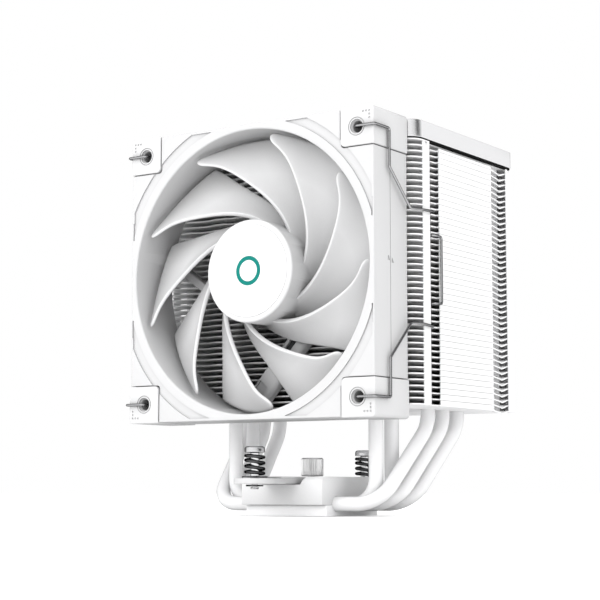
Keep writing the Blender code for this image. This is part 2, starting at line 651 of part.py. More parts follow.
# coil cross-section stations: (radial place, half size around, half size along Y)
COIL_STATIONS = [(8.6, 2.3, 3.3), (8.6, 4.0, 4.9), (11.8, 4.0, 4.9), (11.8, 2.3, 3.3)]


def build_sleeve_and_board():
    add_object("bearing_sleeve", turned(tube_profile(**SLEEVE), 14, 'Y', FAN_AXIS),
               "sleeve_brass", 30)
    add_object("motor_board", turned(tube_profile(**BOARD), 20, 'Y', FAN_AXIS),
               "motor_board", 30)


def build_stator_core():
    """Four-pole stator, one outline."""
    half, inner, spread = POLE_HALF_W, POLE_SHOE_INNER_R, POLE_SHOE_DEG
    shoe_start, shoe_end = arc(0, 0, inner, -spread, spread, 1)
    pole = [(POLE_ROOT_R, -half), (inner, -half), shoe_start]
    pole += arc(0, 0, POLE_SHOE_OUTER_R, -spread, spread, 6)
    pole += [shoe_end, (inner, half), (POLE_ROOT_R, half)]
    outline = []
    for k in range(4):
        cos, sin = math.cos(math.pi / 2 * k), math.sin(math.pi / 2 * k)
        outline += [(x * cos - z * sin, FAN_Z + x * sin + z * cos) for x, z in pole]
    core = add_object("stator_core", prism(outline, CORE_FRONT, CORE_REAR, 'Y'),
                      "stator_lamination", 30)
    boolean(core, add_helper("cut_stator_bore", cylinder(
        STATOR_BORE_R, *STATOR_CUT, 20, 'Y', FAN_AXIS)))


def build_stator_coils():
    """Square coils around the poles, bulging outside the pole necks."""
    for k in range(4):
        turn = Matrix.Rotation(-math.pi / 2 * k, 3, 'Y')
        bm = bmesh.new()
        rings = []
        for x, around, along in COIL_STATIONS:
            corners = [Vector((x, CORE_MIDDLE + sy * along, sz * around))
                       for sy, sz in ((-1, -1), (1, -1), (1, 1), (-1, 1))]
            rings.append([bm.verts.new(turn @ p + Vector(FAN_AXIS)) for p in corners])
        for ring, other in zip(rings, rings[1:] + rings[:1]):
            bridge(bm, ring, other)
        add_object("stator_coil_%d" % (k + 1), bm, "winding_copper")


# --------------------------------------------------------------------- rotor
HUB_R, HUB_FRONT, HUB_REAR, HUB_WALL = 21.0, -46.2, -27.0, 1.9
HUB_RECESS_R, HUB_RECESS, HUB_FLOOR = 18.8, 0.4, -43.9
# hub cup: (radius, y)
HUB_PROFILE = [
    (0, HUB_FRONT + HUB_RECESS), (HUB_RECESS_R, HUB_FRONT + HUB_RECESS),
    (HUB_RECESS_R, HUB_FRONT), (19.3, HUB_FRONT), (20.4, HUB_FRONT + 0.6),
    (HUB_R, HUB_FRONT + 2.2), (HUB_R, HUB_REAR), (HUB_R - HUB_WALL, HUB_REAR),
    (HUB_R - HUB_WALL, HUB_FLOOR), (0, HUB_FLOOR),
]
ROTOR_ORIGIN = (0, HUB_REAR, FAN_Z)
# other turned rotor pieces: name, (radius, y) profile, segments, material
ROTOR_PIECES = [
    ("hub_badge", tube_profile(0, 18.4, -46.5, -46.1), 27, "badge_face"),
    ("rotor_yoke", [(1.8, -43.5), (18.7, -43.5), (18.7, -27.6), (17.9, -27.6),
                    (17.9, -42.7), (1.8, -42.7)], 20, "bright_steel"),
    ("rotor_magnet", tube_profile(15.9, 17.6, -39.4, -28.2), 20, "magnet_ring"),
    ("fan_shaft", [(0, -43.6), (1.5, -43.6), (1.5, -25.5), (1.05, -25.5),
                   (1.05, -24.6), (1.5, -24.6), (1.5, -24.1), (0, -24.1)],
     12, "bright_steel"),
    ("shaft_washer", tube_profile(1.35, 3.2, -25.3, -24.8), 12, "magnet_ring"),
]

BLADES, BLADE_TIP_R, BLADE_T = 9, 56.7, 1.5
BLADE_ROOT_R = HUB_R - 0.9
BLADE_RADIAL_STEPS, BLADE_CHORD_STEPS = 5, 3
# The blade's two edges follow polynomials of s, which runs from about -1 at
# the hub to 0 at EDGE_LAW_R.  Coefficients go up from s ** 0; angles are in
# radians.
EDGE_LAW_R = 57.0
LEAD_ANGLE, LEAD_Y = (2.118, 0.856, 0.764, 1.141), (-45.1, -12.9, -8.3, -3.2)
TRAIL_ANGLE, TRAIL_Y = (1.450, 0.476, 0.466, 1.051), (-28.0, 1.35)
# camber as a share of the chord, and how much of it shifts the angle and y
CAMBER, CAMBER_ANGLE, CAMBER_Y = 0.10, 0.55, 0.9
# thickness / BLADE_T: base + bulge * sin(pi * (start + span * t)), t along the chord
THICK_BASE, THICK_BULGE, THICK_START, THICK_SPAN = 0.35, 0.65, 0.12, 0.76


def blade_edges(radius):
    """Leading angle and y, trailing angle and y."""
    s = (radius - EDGE_LAW_R) / (EDGE_LAW_R - HUB_R)
    return [sum(c * s ** power for power, c in enumerate(law))
            for law in (LEAD_ANGLE, LEAD_Y, TRAIL_ANGLE, TRAIL_Y)]


def blade_skin_points(radius, t, turn):
    """Front and back point of the blade at a radius and chord share t."""
    lead_angle, lead_y, trail_angle, trail_y = blade_edges(radius)
    chord_angle, chord_y = trail_angle - lead_angle, trail_y - lead_y
    camber = CAMBER * math.sin(math.pi * t)
    angle = lead_angle + chord_angle * (t - camber * CAMBER_ANGLE)
    y = lead_y + chord_y * (t + camber * CAMBER_Y)
    thick = BLADE_T * (THICK_BASE + THICK_BULGE * math.sin(
        math.pi * (THICK_START + THICK_SPAN * t)))
    # the blade's skin normal lies between the axis and the turning direction
    slope = math.atan2(abs(chord_y), abs(chord_angle) * radius)
    points = []
    for side in (-0.5, 0.5):
        a = angle - side * thick * math.sin(slope) / radius + turn
        points.append((radius * math.cos(a), y + side * thick * math.cos(slope),
                       FAN_Z + radius * math.sin(a)))
    return points


def blade_body(k):
    radial, chord = BLADE_RADIAL_STEPS, BLADE_CHORD_STEPS
    turn = math.radians(-360.0 / BLADES * k)
    bm = bmesh.new()
    front, back = [], []
    for i in range(radial + 1):
        radius = BLADE_ROOT_R + (BLADE_TIP_R - BLADE_ROOT_R) * i / radial
        pairs = [[bm.verts.new(p) for p in blade_skin_points(radius, j / chord, turn)]
                 for j in range(chord + 1)]
        front.append([pair[0] for pair in pairs])
        back.append([pair[1] for pair in pairs])
    for i in range(radial):
        for j in range(chord):
            bm.faces.new((front[i][j], front[i + 1][j], front[i + 1][j + 1], front[i][j + 1]))
            bm.faces.new((back[i][j], back[i][j + 1], back[i + 1][j + 1], back[i + 1][j]))
    for i in range(radial):
        for j in (0, chord):
            bm.faces.new((front[i][j], back[i][j], back[i + 1][j], front[i + 1][j]))
    for i in (0, radial):
        for j in range(chord):
            bm.faces.new((front[i][j], front[i][j + 1], back[i][j + 1], back[i][j]))
    bmesh.ops.triangulate(bm, faces=bm.faces)
    return bm


def build_rotor():
    hub = add_object("impeller", turned(HUB_PROFILE, 27, 'Y', FAN_AXIS),
                     "fan_blade_plastic", 35, ROTOR_ORIGIN)
    blades = add_helper("cut_blades", merge([blade_body(k) for k in range(BLADES)]))
    boolean(hub, blades, 'UNION', 'MANIFOLD')
    for name, profile, segments, mat in ROTOR_PIECES:
        add_object(name, turned(profile, segments, 'Y', FAN_AXIS), mat, 30, ROTOR_ORIGIN)


# ------------------------------------------------------------ cable and plug
CABLE_Y, CABLE_R = -24.0, 1.2
CABLE_SIDE_X, CABLE_END_Y = -66.6, 24.0        # the run beside the fin stack
CABLE_BENDS = [2.0, 6.0, 6.0, 4.0]
PLUG_FRONT, PLUG_LENGTH, PLUG_HALF_X, PLUG_HALF_Z = CABLE_END_Y + 0.3, 14.0, 1.9, 5.2
SOCKETS, SOCKET_PITCH, SOCKET_HALF = 4, 2.54, 0.55
SOCKET_START, SOCKET_END = 5.0, 18.0           # from the plug's front


def build_cable():
    run = [Vector((p.x, CABLE_Y, FAN_Z + p.y)) for p in cable_run()[:-1]]
    z = run[-1].z
    run += [Vector((CABLE_SIDE_X, CABLE_Y, z)), Vector((CABLE_SIDE_X, CABLE_END_Y, z))]
    add_object("fan_cable", swept(rounded_path(run, CABLE_BENDS, 30.0), CABLE_R, 8),
               "cable_sleeve", 50)
    build_plug(CABLE_SIDE_X, PLUG_FRONT, z)


def build_plug(x, y, z):
    plug = add_object("fan_plug", box(
        (x - PLUG_HALF_X, y, z - PLUG_HALF_Z),
        (x + PLUG_HALF_X, y + PLUG_LENGTH, z + PLUG_HALF_Z)), "fan_frame_plastic")
    half = SOCKET_HALF
    heights = [z + SOCKET_PITCH * (i - (SOCKETS - 1) / 2) for i in range(SOCKETS)]
    sockets = [box((x - half, y + SOCKET_START, h - half), (x + half, y + SOCKET_END, h + half))
               for h in heights]
    boolean(plug, add_helper("cut_plug_sockets", merge(sockets)))


# ---------------------------------------------------------------- wire clips
WIRE_R = 0.65
CLIP_FAN_X = FAN_HALF + PAD_PROUD + GAP + WIRE_R
CLIP_FRONT_Y = FAN_FRONT - PAD_PROUD - GAP - WIRE_R
CLIP_FIN_X = FIN_HALF_X + GAP + WIRE_R + 0.1
# upper half of the right clip, from the screw hole to its grip:
# (x, y, height above the fan axis)
CLIP_POINTS = [
    (FAN_HOLE, CLIP_FRONT_Y + 3.2, FAN_HOLE), (FAN_HOLE, CLIP_FRONT_Y, FAN_HOLE),
    (CLIP_FAN_X, CLIP_FRONT_Y, FAN_HOLE), (CLIP_FAN_X, -37.6, FAN_HOLE),
    (CLIP_FAN_X, -37.6, 37.2), (CLIP_FAN_X + 1.0, -23.4, 22.8),
    (CLIP_FIN_X, -18.2, 22.8), (CLIP_FIN_X, -9.6, 23.2),
    (61.2, -8.2, 22.6), (61.2, -8.2, 13.9),
    (CLIP_FIN_X, -7.2, 13.7), (CLIP_FIN_X, -2.8, 13.6),
]
# bend radii at the points after the first
CLIP_BENDS = [1.0, 1.0, 1.0, 1.2, 1.2, 1.0, 1.0, 0.8, 0.8, 0.6, 1.0]


def build_clips():
    points = CLIP_POINTS + [(x, y, -z) for x, y, z in reversed(CLIP_POINTS)]
    for tag, side in (("left", -1), ("right", 1)):
        path = rounded_path([(side * x, y, FAN_Z + z) for x, y, z in points],
                            CLIP_BENDS + CLIP_BENDS[::-1], 90.0)
        add_object("wire_clip_" + tag, swept(path, WIRE_R, 5), "bright_steel", 60,
                   (side * FAN_HOLE, CLIP_FRONT_Y, FAN_Z))


def build():
    clear_scene()
    for name, settings in MATERIALS.items():
        make_material(name, **settings)
    grooves = add_groove_cutter()
    build_base_plate(grooves)
    build_base_block(grooves)
    build_pipes()
    build_fin_stack()
    build_top_cover()
    build_retention()
    build_fan_frame()
    build_corner_pads()
    build_sleeve_and_board()
    build_stator_core()
    build_stator_coils()
    build_rotor()
    build_cable()
    build_clips()


build()
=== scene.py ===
import math

import bmesh
import bpy
import numpy as np
from mathutils import Matrix, Vector


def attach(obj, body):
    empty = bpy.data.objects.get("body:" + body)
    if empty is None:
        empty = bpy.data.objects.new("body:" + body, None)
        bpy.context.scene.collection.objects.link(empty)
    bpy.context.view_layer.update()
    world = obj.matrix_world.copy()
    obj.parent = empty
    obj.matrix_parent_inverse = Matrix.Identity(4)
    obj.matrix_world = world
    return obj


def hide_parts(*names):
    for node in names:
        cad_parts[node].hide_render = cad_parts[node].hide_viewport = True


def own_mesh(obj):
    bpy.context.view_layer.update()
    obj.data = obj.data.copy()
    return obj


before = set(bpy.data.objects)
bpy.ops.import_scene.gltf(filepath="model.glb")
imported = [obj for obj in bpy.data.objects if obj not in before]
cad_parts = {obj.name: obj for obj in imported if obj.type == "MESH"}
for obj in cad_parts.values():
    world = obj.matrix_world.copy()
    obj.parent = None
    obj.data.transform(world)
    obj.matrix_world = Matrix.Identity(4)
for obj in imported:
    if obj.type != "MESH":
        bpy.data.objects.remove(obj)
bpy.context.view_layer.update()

MM = 0.001
COL = bpy.context.scene.collection
FAN_Z = 98.4


# ============================================================ mesh tools (mm)
def make(name, bm, smooth=35.0):
    """A mesh object from a bmesh in millimetres, faces pointing out."""
    bmesh.ops.recalc_face_normals(bm, faces=bm.faces)
    if bm.calc_volume(signed=True) < 0:
        bmesh.ops.reverse_faces(bm, faces=bm.faces)
    bmesh.ops.scale(bm, vec=(MM, MM, MM), verts=bm.verts)
    me = bpy.data.meshes.new(name)
    bm.to_mesh(me)
    bm.free()
    ob = bpy.data.objects.new(name, me)
    COL.objects.link(ob)
    if smooth is not None:
        me.shade_smooth()
        me.set_sharp_from_angle(angle=math.radians(smooth))
    return ob


def settle(ob, smooth=35.0):
    """Apply every modifier on an object."""
    bpy.context.view_layer.update()
    dg = bpy.context.evaluated_depsgraph_get()
    me = bpy.data.meshes.new_from_object(ob.evaluated_get(dg))
    ob.modifiers.clear()
    old = ob.data
    ob.data = me
    bpy.data.meshes.remove(old)
    if smooth is not None:
        me.shade_smooth()
        me.set_sharp_from_angle(angle=math.radians(smooth))
    return ob


def bevel(ob, width, segments=3, angle=35.0, smooth=35.0):
    m = ob.modifiers.new("Bevel", 'BEVEL')
    m.width = width * MM
    m.segments = segments
    m.limit_method = 'ANGLE'
    m.angle_limit = math.radians(angle)
    m.use_clamp_overlap = True
    return settle(ob, smooth)


def combine(ob, others, op='DIFFERENCE', solver='MANIFOLD', smooth=35.0):
    for other in others:
        m = ob.modifiers.new("Bool", 'BOOLEAN')
        m.operation = op
        m.solver = solver
        m.object = other
    settle(ob, smooth)
    if len(ob.data.polygons) == 0:
        raise RuntimeError("boolean emptied " + ob.name)
    for other in others:
        bpy.data.objects.remove(other, do_unlink=True)
    return weld(ob, smooth=smooth if smooth is not None else 35.0)


def weld(ob, reach=0.000003, smooth=35.0):
    """Close up the slivers a boolean leaves along its cuts."""
    bm = bmesh.new()
    bm.from_mesh(ob.data)
    bmesh.ops.remove_doubles(bm, verts=bm.verts, dist=reach)
    bmesh.ops.dissolve_degenerate(bm, edges=bm.edges, dist=reach)
    if all(e.is_manifold for e in bm.edges):
        bm.to_mesh(ob.data)
        ob.data.set_sharp_from_angle(angle=math.radians(smooth))
    bm.free()
    return ob


def extruded(points, lo, hi, axis='Z'):
    def put(a, b, h):
        return {'Z': (a, b, h), 'Y': (a, h, b), 'X': (h, a, b)}[axis]
    bm = bmesh.new()
    low = [bm.verts.new(put(a, b, lo)) for a, b in points]
    top = [bm.verts.new(put(a, b, hi)) for a, b in points]
    bm.faces.new(low)
    bm.faces.new(list(reversed(top)))
    n = len(points)
    for i in range(n):
        j = (i + 1) % n
        bm.faces.new((low[j], low[i], top[i], top[j]))
    return bm


def block(lo, hi):
    return extruded([(lo[0], lo[1]), (hi[0], lo[1]), (hi[0], hi[1]), (lo[0], hi[1])], lo[2], hi[2])


def arc(cx, cy, r, a0, a1, n):
    return [(cx + r * math.cos(math.radians(a0 + (a1 - a0) * i / n)),
             cy + r * math.sin(math.radians(a0 + (a1 - a0) * i / n))) for i in range(n + 1)]


def round_corners(points, radii, n=6):
    """Fillet the corners of a closed outline."""
    out = []
    count = len(points)
    for i in range(count):
        p = Vector(points[i])
        r = radii[i] if isinstance(radii, (list, tuple)) else radii
        a = (Vector(points[i - 1]) - p)
        b = (Vector(points[(i + 1) % count]) - p)
        la, lb = a.length, b.length
        a.normalize(); b.normalize()
        ang = a.angle(b)
        if r <= 0 or abs(ang - math.pi) < 1e-3:
            out.append(tuple(p))
            continue
        t = min(r / math.tan(ang / 2), la * 0.49, lb * 0.49)
        r2 = t * math.tan(ang / 2)
        c = p + (a + b).normalized() * (r2 / math.sin(ang / 2))
        s, e = p + a * t - c, p + b * t - c
        turn = s.angle_signed(e)
        for k in range(n + 1):
            q = Matrix.Rotation(-turn * k / n, 2) @ s
            out.append(tuple(c + q))
    return out


def turned(profile, segs, axis='Z', centre=(0, 0, 0)):
    bm = bmesh.new()
    c = Vector(centre)

    def put(r, h, t):
        if axis == 'Z':
            return c + Vector((r * math.cos(t), r * math.sin(t), h))
        return c + Vector((r * math.cos(t), h, r * math.sin(t)))
    rings = []
    for r, h in profile:
        if r < 1e-6:
            rings.append([bm.verts.new(put(0, h, 0))])
        else:
            rings.append([bm.verts.new(put(r, h, 2 * math.pi * k / segs)) for k in range(segs)])
    n = len(profile)
    for i in range(n):
        a, b = rings[i], rings[(i + 1) % n]
        if len(a) == 1 and len(b) == 1:
            continue
        for k in range(segs):
            k2 = (k + 1) % segs
            if len(a) == 1:
                bm.faces.new((a[0], b[k2], b[k]))
            elif len(b) == 1:
                bm.faces.new((a[k], a[k2], b[0]))
            else:
                bm.faces.new((a[k], a[k2], b[k2], b[k]))
    return bm


def rounded_profile(profile, radii, n=5):
    """Fillet the corners of a turned profile; 0 keeps a corner."""
    return round_corners(profile, radii, n)


def fillet_path(points, radii, step_deg=6.0):
    pts = [Vector(p) for p in points]
    out = [pts[0]]
    for i in range(1, len(pts) - 1):
        r = radii[i - 1] if isinstance(radii, (list, tuple)) else radii
        a = (pts[i - 1] - pts[i]).normalized()
        b = (pts[i + 1] - pts[i]).normalized()
        turn = math.pi - a.angle(b)
        if r <= 0 or turn < 1e-4:
            out.append(pts[i])
            continue
        t = r * math.tan(turn / 2)
        c = pts[i] + (a + b).normalized() * (r / math.cos(turn / 2))
        s = pts[i] + a * t
        ax = (s - c).cross(pts[i] + b * t - c).normalized()
        n = max(3, int(round(math.degrees(turn) / step_deg)))
        for k in range(n + 1):
            out.append(c + Matrix.Rotation(turn * k / n, 3, ax) @ (s - c))
    out.append(pts[-1])
    return out


def swept(path, r, segs, round_ends=0.0):
    """A round bar along a path; round_ends is the length of each domed tip."""
    pts = list(path)
    radii = [r] * len(pts)
    if round_ends > 0:
        n = 6
        d0 = (pts[1] - pts[0]).normalized()
        d1 = (pts[-1] - pts[-2]).normalized()
        # tip first: small radius at the very end, full radius after round_ends
        head = [pts[0] + d0 * round_ends * (1 - math.cos(math.pi / 2 * k / n)) for k in range(n)]
        hr = [max(r * math.sin(math.pi / 2 * k / n), 0.06 * r) for k in range(n)]
        tail = [pts[-1] - d1 * round_ends * (1 - math.cos(math.pi / 2 * k / n)) for k in range(n)][::-1]
        tr = hr[::-1]
        a0 = pts[0] + d0 * round_ends
        a1 = pts[-1] - d1 * round_ends
        pts = head + [a0] + pts[1:-1] + [a1] + tail
        radii = hr + [r] * (len(path)) + tr
    n = len(pts)
    tang = []
    for i in range(n):
        f = (pts[min(i + 1, n - 1)] - pts[i])
        b = (pts[i] - pts[max(i - 1, 0)])
        f = f.normalized() if f.length > 1e-9 else b.normalized()
        b = b.normalized() if b.length > 1e-9 else f
        tang.append((f + b).normalized())
    ref = Vector((0, 0, 1)) if abs(tang[0].z) < 0.9 else Vector((1, 0, 0))
    u = ref.cross(tang[0]).normalized()
    bm = bmesh.new()
    rings = []
    for i in range(n):
        u = (u - tang[i] * u.dot(tang[i])).normalized()
        v = tang[i].cross(u)
        rings.append([bm.verts.new(pts[i] + (u * math.cos(2 * math.pi * k / segs)
                                             + v * math.sin(2 * math.pi * k / segs)) * radii[i])
                      for k in range(segs)])
    for i in range(n - 1):
        for k in range(segs):
            k2 = (k + 1) % segs
            bm.faces.new((rings[i][k], rings[i][k2], rings[i + 1][k2], rings[i + 1][k]))
    bm.faces.new(list(reversed(rings[0])))
    bm.faces.new(rings[-1])
    return bm


def merged(bms):
    out = bmesh.new()
    for b in bms:
        bmesh.ops.recalc_face_normals(b, faces=b.faces)
        if b.calc_volume(signed=True) < 0:
            bmesh.ops.reverse_faces(b, faces=b.faces)
        tmp = bpy.data.meshes.new("tmp")
        b.to_mesh(tmp)
        b.free()
        out.from_mesh(tmp)
        bpy.data.meshes.remove(tmp)
    return out


def raw(name, bm):
    return make(name, bm, None)


# ================================================================== materials
def new_mat(name):
    m = bpy.data.materials.new(name)
    m.use_nodes = True
    nt = m.node_tree
    nt.nodes.clear()
    out = nt.nodes.new("ShaderNodeOutputMaterial")
    p = nt.nodes.new("ShaderNodeBsdfPrincipled")
    nt.links.new(p.outputs[0], out.inputs[0])
    return m, nt, p


def node(nt, kind, **props):
    n = nt.nodes.new(kind)
    for k, v in props.items():
        setattr(n, k, v)
    return n


def coords(nt, scale=(1, 1, 1), rot=(0, 0, 0)):
    tc = node(nt, "ShaderNodeTexCoord")
    mp = node(nt, "ShaderNodeMapping")
    mp.inputs["Scale"].default_value = scale
    mp.inputs["Rotation"].default_value = rot
    nt.links.new(tc.outputs["Object"], mp.inputs["Vector"])
    return mp.outputs[0]


def noise(nt, vec, scale, detail=3.0, rough=0.55):
    n = node(nt, "ShaderNodeTexNoise")
    n.inputs["Scale"].default_value = scale
    n.inputs["Detail"].default_value = detail
    n.inputs["Roughness"].default_value = rough
    nt.links.new(vec, n.inputs["Vector"])
    return n.outputs["Fac"]


def ramp(nt, fac, stops):
    r = node(nt, "ShaderNodeValToRGB")
    e = r.color_ramp.elements
    while len(e) < len(stops):
        e.new(0.5)
    for el, (pos, col) in zip(e, stops):
        el.position = pos
        el.color = (*col, 1) if len(col) == 3 else col
    nt.links.new(fac, r.inputs[0])
    return r.outputs[0]


def span(nt, fac, lo, hi):
    m = node(nt, "ShaderNodeMapRange")
    m.inputs["To Min"].default_value = lo
    m.inputs["To Max"].default_value = hi
    nt.links.new(fac, m.inputs["Value"])
    return m.outputs[0]


def math_node(nt, op, a, b=None):
    m = node(nt, "ShaderNodeMath", operation=op)
    for i, v in enumerate((a, b)):
        if v is None:
            continue
        if isinstance(v, (int, float)):
            m.inputs[i].default_value = v
        else:
            nt.links.new(v, m.inputs[i])
    return m.outputs[0]


def shade(col, k):
    return tuple(max(0.0, min(1.0, c * k)) for c in col)


def add_bump(nt, p, height, strength, distance):
    b = node(nt, "ShaderNodeBump")
    b.inputs["Strength"].default_value = strength
    b.inputs["Distance"].default_value = distance
    nt.links.new(height, b.inputs["Height"])
    nt.links.new(b.outputs[0], p.inputs["Normal"])


def paint_hollow_shade(nt, colour, reach, amount):
    """Painted shade: darken a colour in hollows, creases and gaps where the ambient occlusion node finds shade, within
    reach metres, by amount.
    """
    ao = node(nt, "ShaderNodeAmbientOcclusion", samples=8)
    ao.inputs["Distance"].default_value = reach
    k = span(nt, ao.outputs["AO"], 1.0 - amount, 1.0)
    mul = node(nt, "ShaderNodeVectorMath", operation='SCALE')
    nt.links.new(colour, mul.inputs[0])
    nt.links.new(k, mul.inputs["Scale"])
    return mul.outputs[0]


def paint_rim_shade(nt, colour, amount, power):
    """Painted shade: darken a colour where the surface turns away from the view, painting dark outlines along
    silhouettes.
    """
    lw = node(nt, "ShaderNodeLayerWeight")
    lw.inputs["Blend"].default_value = 0.5
    k = math_node(nt, 'POWER', lw.outputs["Facing"], power)
    mul = node(nt, "ShaderNodeVectorMath", operation='SCALE')
    nt.links.new(colour, mul.inputs[0])
    nt.links.new(span(nt, k, 1.0, 1.0 - amount), mul.inputs["Scale"])
    return mul.outputs[0]


def surface(name, col, rough, metal=0.0, grain=2200.0, bump=0.15, depth=0.00002, vary=0.03,
            patch=35.0, rough_var=0.07, coat=0.0, spec=0.5, sheen=0.0, stretch=(1, 1, 1), hollow_shade=None,
            rim_shade=None):
    """A coated, moulded or metal surface: broad tone patches, grain in the
    bump, and roughness that wanders a little."""
    m, nt, p = new_mat(name)
    v = coords(nt)
    vg = coords(nt, stretch)
    broad = noise(nt, v, patch, 4.0)
    fine = noise(nt, vg, grain, 4.0, 0.6)
    mixv = math_node(nt, 'ADD', math_node(nt, 'MULTIPLY', broad, 0.7),
                     math_node(nt, 'MULTIPLY', fine, 0.3))
    c = ramp(nt, mixv, [(0.25, shade(col, 1 - vary)), (0.5, col), (0.75, shade(col, 1 + vary * 0.7))])
    # painted shade in hollows and gaps, from the ambient occlusion node
    if hollow_shade:
        c = paint_hollow_shade(nt, c, *hollow_shade)
    # painted shade along silhouettes, where the surface turns away
    if rim_shade:
        c = paint_rim_shade(nt, c, *rim_shade)
    nt.links.new(c, p.inputs["Base Color"])
    nt.links.new(span(nt, fine, rough - rough_var, rough + rough_var), p.inputs["Roughness"])
    p.inputs["Metallic"].default_value = metal
    p.inputs["Coat Weight"].default_value = coat
    p.inputs["Coat Roughness"].default_value = 0.12
    p.inputs["Specular IOR Level"].default_value = spec
    p.inputs["Sheen Weight"].default_value = sheen
    add_bump(nt, p, fine, bump, depth)
    return m


def brushed(name, col, rough, scale, bump=0.25, depth=0.00002, vary=0.12):
    """Metal with a drawn or turned grain; scale is large across the grain."""
    m, nt, p = new_mat(name)
    g = noise(nt, coords(nt, scale), 1.0, 5.0, 0.65)
    broad = noise(nt, coords(nt), 120.0, 2.0)
    mixv = math_node(nt, 'ADD', math_node(nt, 'MULTIPLY', g, 0.7), math_node(nt, 'MULTIPLY', broad, 0.3))
    c = ramp(nt, mixv, [(0.3, shade(col, 1 - vary)), (0.7, shade(col, 1 + vary * 0.5))])
    nt.links.new(c, p.inputs["Base Color"])
    nt.links.new(span(nt, g, rough * 0.7, rough * 1.35), p.inputs["Roughness"])
    p.inputs["Metallic"].default_value = 1.0
    add_bump(nt, p, g, bump, depth)
    return m


def paint_dark_rim_reflection(m, amount, power):
    """Painted reflection: bright metal whose colour is painted dark where it turns away, standing in for the dark
    surroundings polished steel reflects.
    """
    nt = m.node_tree
    p = nt.nodes["Principled BSDF"]
    link = p.inputs["Base Color"].links[0]
    c = link.from_socket
    nt.links.new(paint_rim_shade(nt, c, amount, power), p.inputs["Base Color"])
    p.inputs["Specular Tint"].default_value = (0.03, 0.03, 0.03, 1)


def banded(name, col_a, col_b, rough, metal, scale, direction='Y', bump=0.4, depth=0.00004, distort=0.0):
    """Regular thin layers or turns, such as laminations or wound wire."""
    m, nt, p = new_mat(name)
    v = coords(nt)
    w = node(nt, "ShaderNodeTexWave", wave_type='BANDS', bands_direction=direction, wave_profile='SIN')
    w.inputs["Scale"].default_value = scale
    w.inputs["Distortion"].default_value = distort
    nt.links.new(v, w.inputs["Vector"])
    n = noise(nt, v, 900.0)
    f = math_node(nt, 'ADD', math_node(nt, 'MULTIPLY', w.outputs["Fac"], 0.8), math_node(nt, 'MULTIPLY', n, 0.2))
    nt.links.new(ramp(nt, f, [(0.15, col_a), (0.85, col_b)]), p.inputs["Base Color"])
    nt.links.new(span(nt, n, rough - 0.08, rough + 0.08), p.inputs["Roughness"])
    p.inputs["Metallic"].default_value = metal
    add_bump(nt, p, w.outputs["Fac"], bump, depth)
    return m


def braid(name, col, rough):
    """Jacketed cable: two crossing weaves."""
    m, nt, p = new_mat(name)
    v = coords(nt)
    a = node(nt, "ShaderNodeTexWave", wave_type='BANDS', bands_direction='DIAGONAL')
    a.inputs["Scale"].default_value = 520.0
    nt.links.new(coords(nt, (1, 1, 1)), a.inputs["Vector"])
    b = node(nt, "ShaderNodeTexWave", wave_type='BANDS', bands_direction='DIAGONAL')
    b.inputs["Scale"].default_value = 520.0
    nt.links.new(coords(nt, (1, -1, 1)), b.inputs["Vector"])
    f = math_node(nt, 'MAXIMUM', a.outputs["Fac"], b.outputs["Fac"])
    n = noise(nt, v, 3000.0)
    nt.links.new(ramp(nt, f, [(0.1, shade(col, 0.7)), (0.9, col)]), p.inputs["Base Color"])
    nt.links.new(span(nt, n, rough - 0.05, rough + 0.1), p.inputs["Roughness"])
    add_bump(nt, p, f, 0.5, 0.00008)
    return m


def board(name):
    """Circuit board: solder mask over traces and pads."""
    m, nt, p = new_mat(name)
    v = coords(nt)
    br = node(nt, "ShaderNodeTexBrick")
    br.inputs["Scale"].default_value = 420.0
    br.inputs["Mortar Size"].default_value = 0.018
    br.inputs["Color1"].default_value = (0.02, 0.16, 0.08, 1)
    br.inputs["Color2"].default_value = (0.03, 0.20, 0.10, 1)
    br.inputs["Mortar"].default_value = (0.10, 0.36, 0.18, 1)
    nt.links.new(v, br.inputs["Vector"])
    nt.links.new(br.outputs["Color"], p.inputs["Base Color"])
    n = noise(nt, v, 1500.0)
    nt.links.new(span(nt, n, 0.3, 0.5), p.inputs["Roughness"])
    add_bump(nt, p, br.outputs["Fac"], 0.3, 0.00003)
    return m


M = {}
# painted shade: the coat, crossbar, pipe, frame, blade and pad colours are darkened in hollows and where the surface
# turns away
M["coat"] = surface("white_powder_coat", (0.82, 0.82, 0.825), 0.42, grain=1500, bump=0.22, depth=0.00003, patch=40, coat=0.1, hollow_shade=(0.018, 0.34), rim_shade=(0.35, 6.0))
# painted shade: a darker copy of the white coat for the crossbar, so its sides read as shaded
M["bar"] = surface("white_crossbar_coat_shaded_copy", (0.62, 0.62, 0.625), 0.40, grain=1500, bump=0.2, depth=0.00003, patch=45, coat=0.1, hollow_shade=(0.012, 0.5), rim_shade=(0.35, 6.0))
M["pipe"] = surface("white_pipe_coat", (0.92, 0.92, 0.925), 0.36, grain=1300, bump=0.12, depth=0.00003, patch=30, coat=0.2, hollow_shade=(0.010, 0.20), rim_shade=(0.78, 5.0))
M["plate"] = surface("white_base_plate", (0.92, 0.92, 0.925), 0.38, grain=1600, bump=0.15, patch=50, coat=0.1)
M["frame"] = surface("moulded_white_frame", (0.62, 0.62, 0.625), 0.52, grain=2600, bump=0.25, depth=0.00002, patch=30, vary=0.02, spec=0.35, hollow_shade=(0.030, 0.36), rim_shade=(0.5, 5.0))
M["blade"] = surface("moulded_white_blade", (0.71, 0.71, 0.715), 0.45, grain=2000, bump=0.12, depth=0.000015, patch=45, vary=0.02, spec=0.3, hollow_shade=(0.016, 0.5), rim_shade=(0.3, 5.0))
M["pad"] = surface("white_silicone_pad", (0.66, 0.66, 0.665), 0.64, grain=3200, bump=0.3, depth=0.00002, patch=70, vary=0.02, sheen=0.05, spec=0.3, hollow_shade=(0.006, 0.72), rim_shade=(0.5, 5.0))
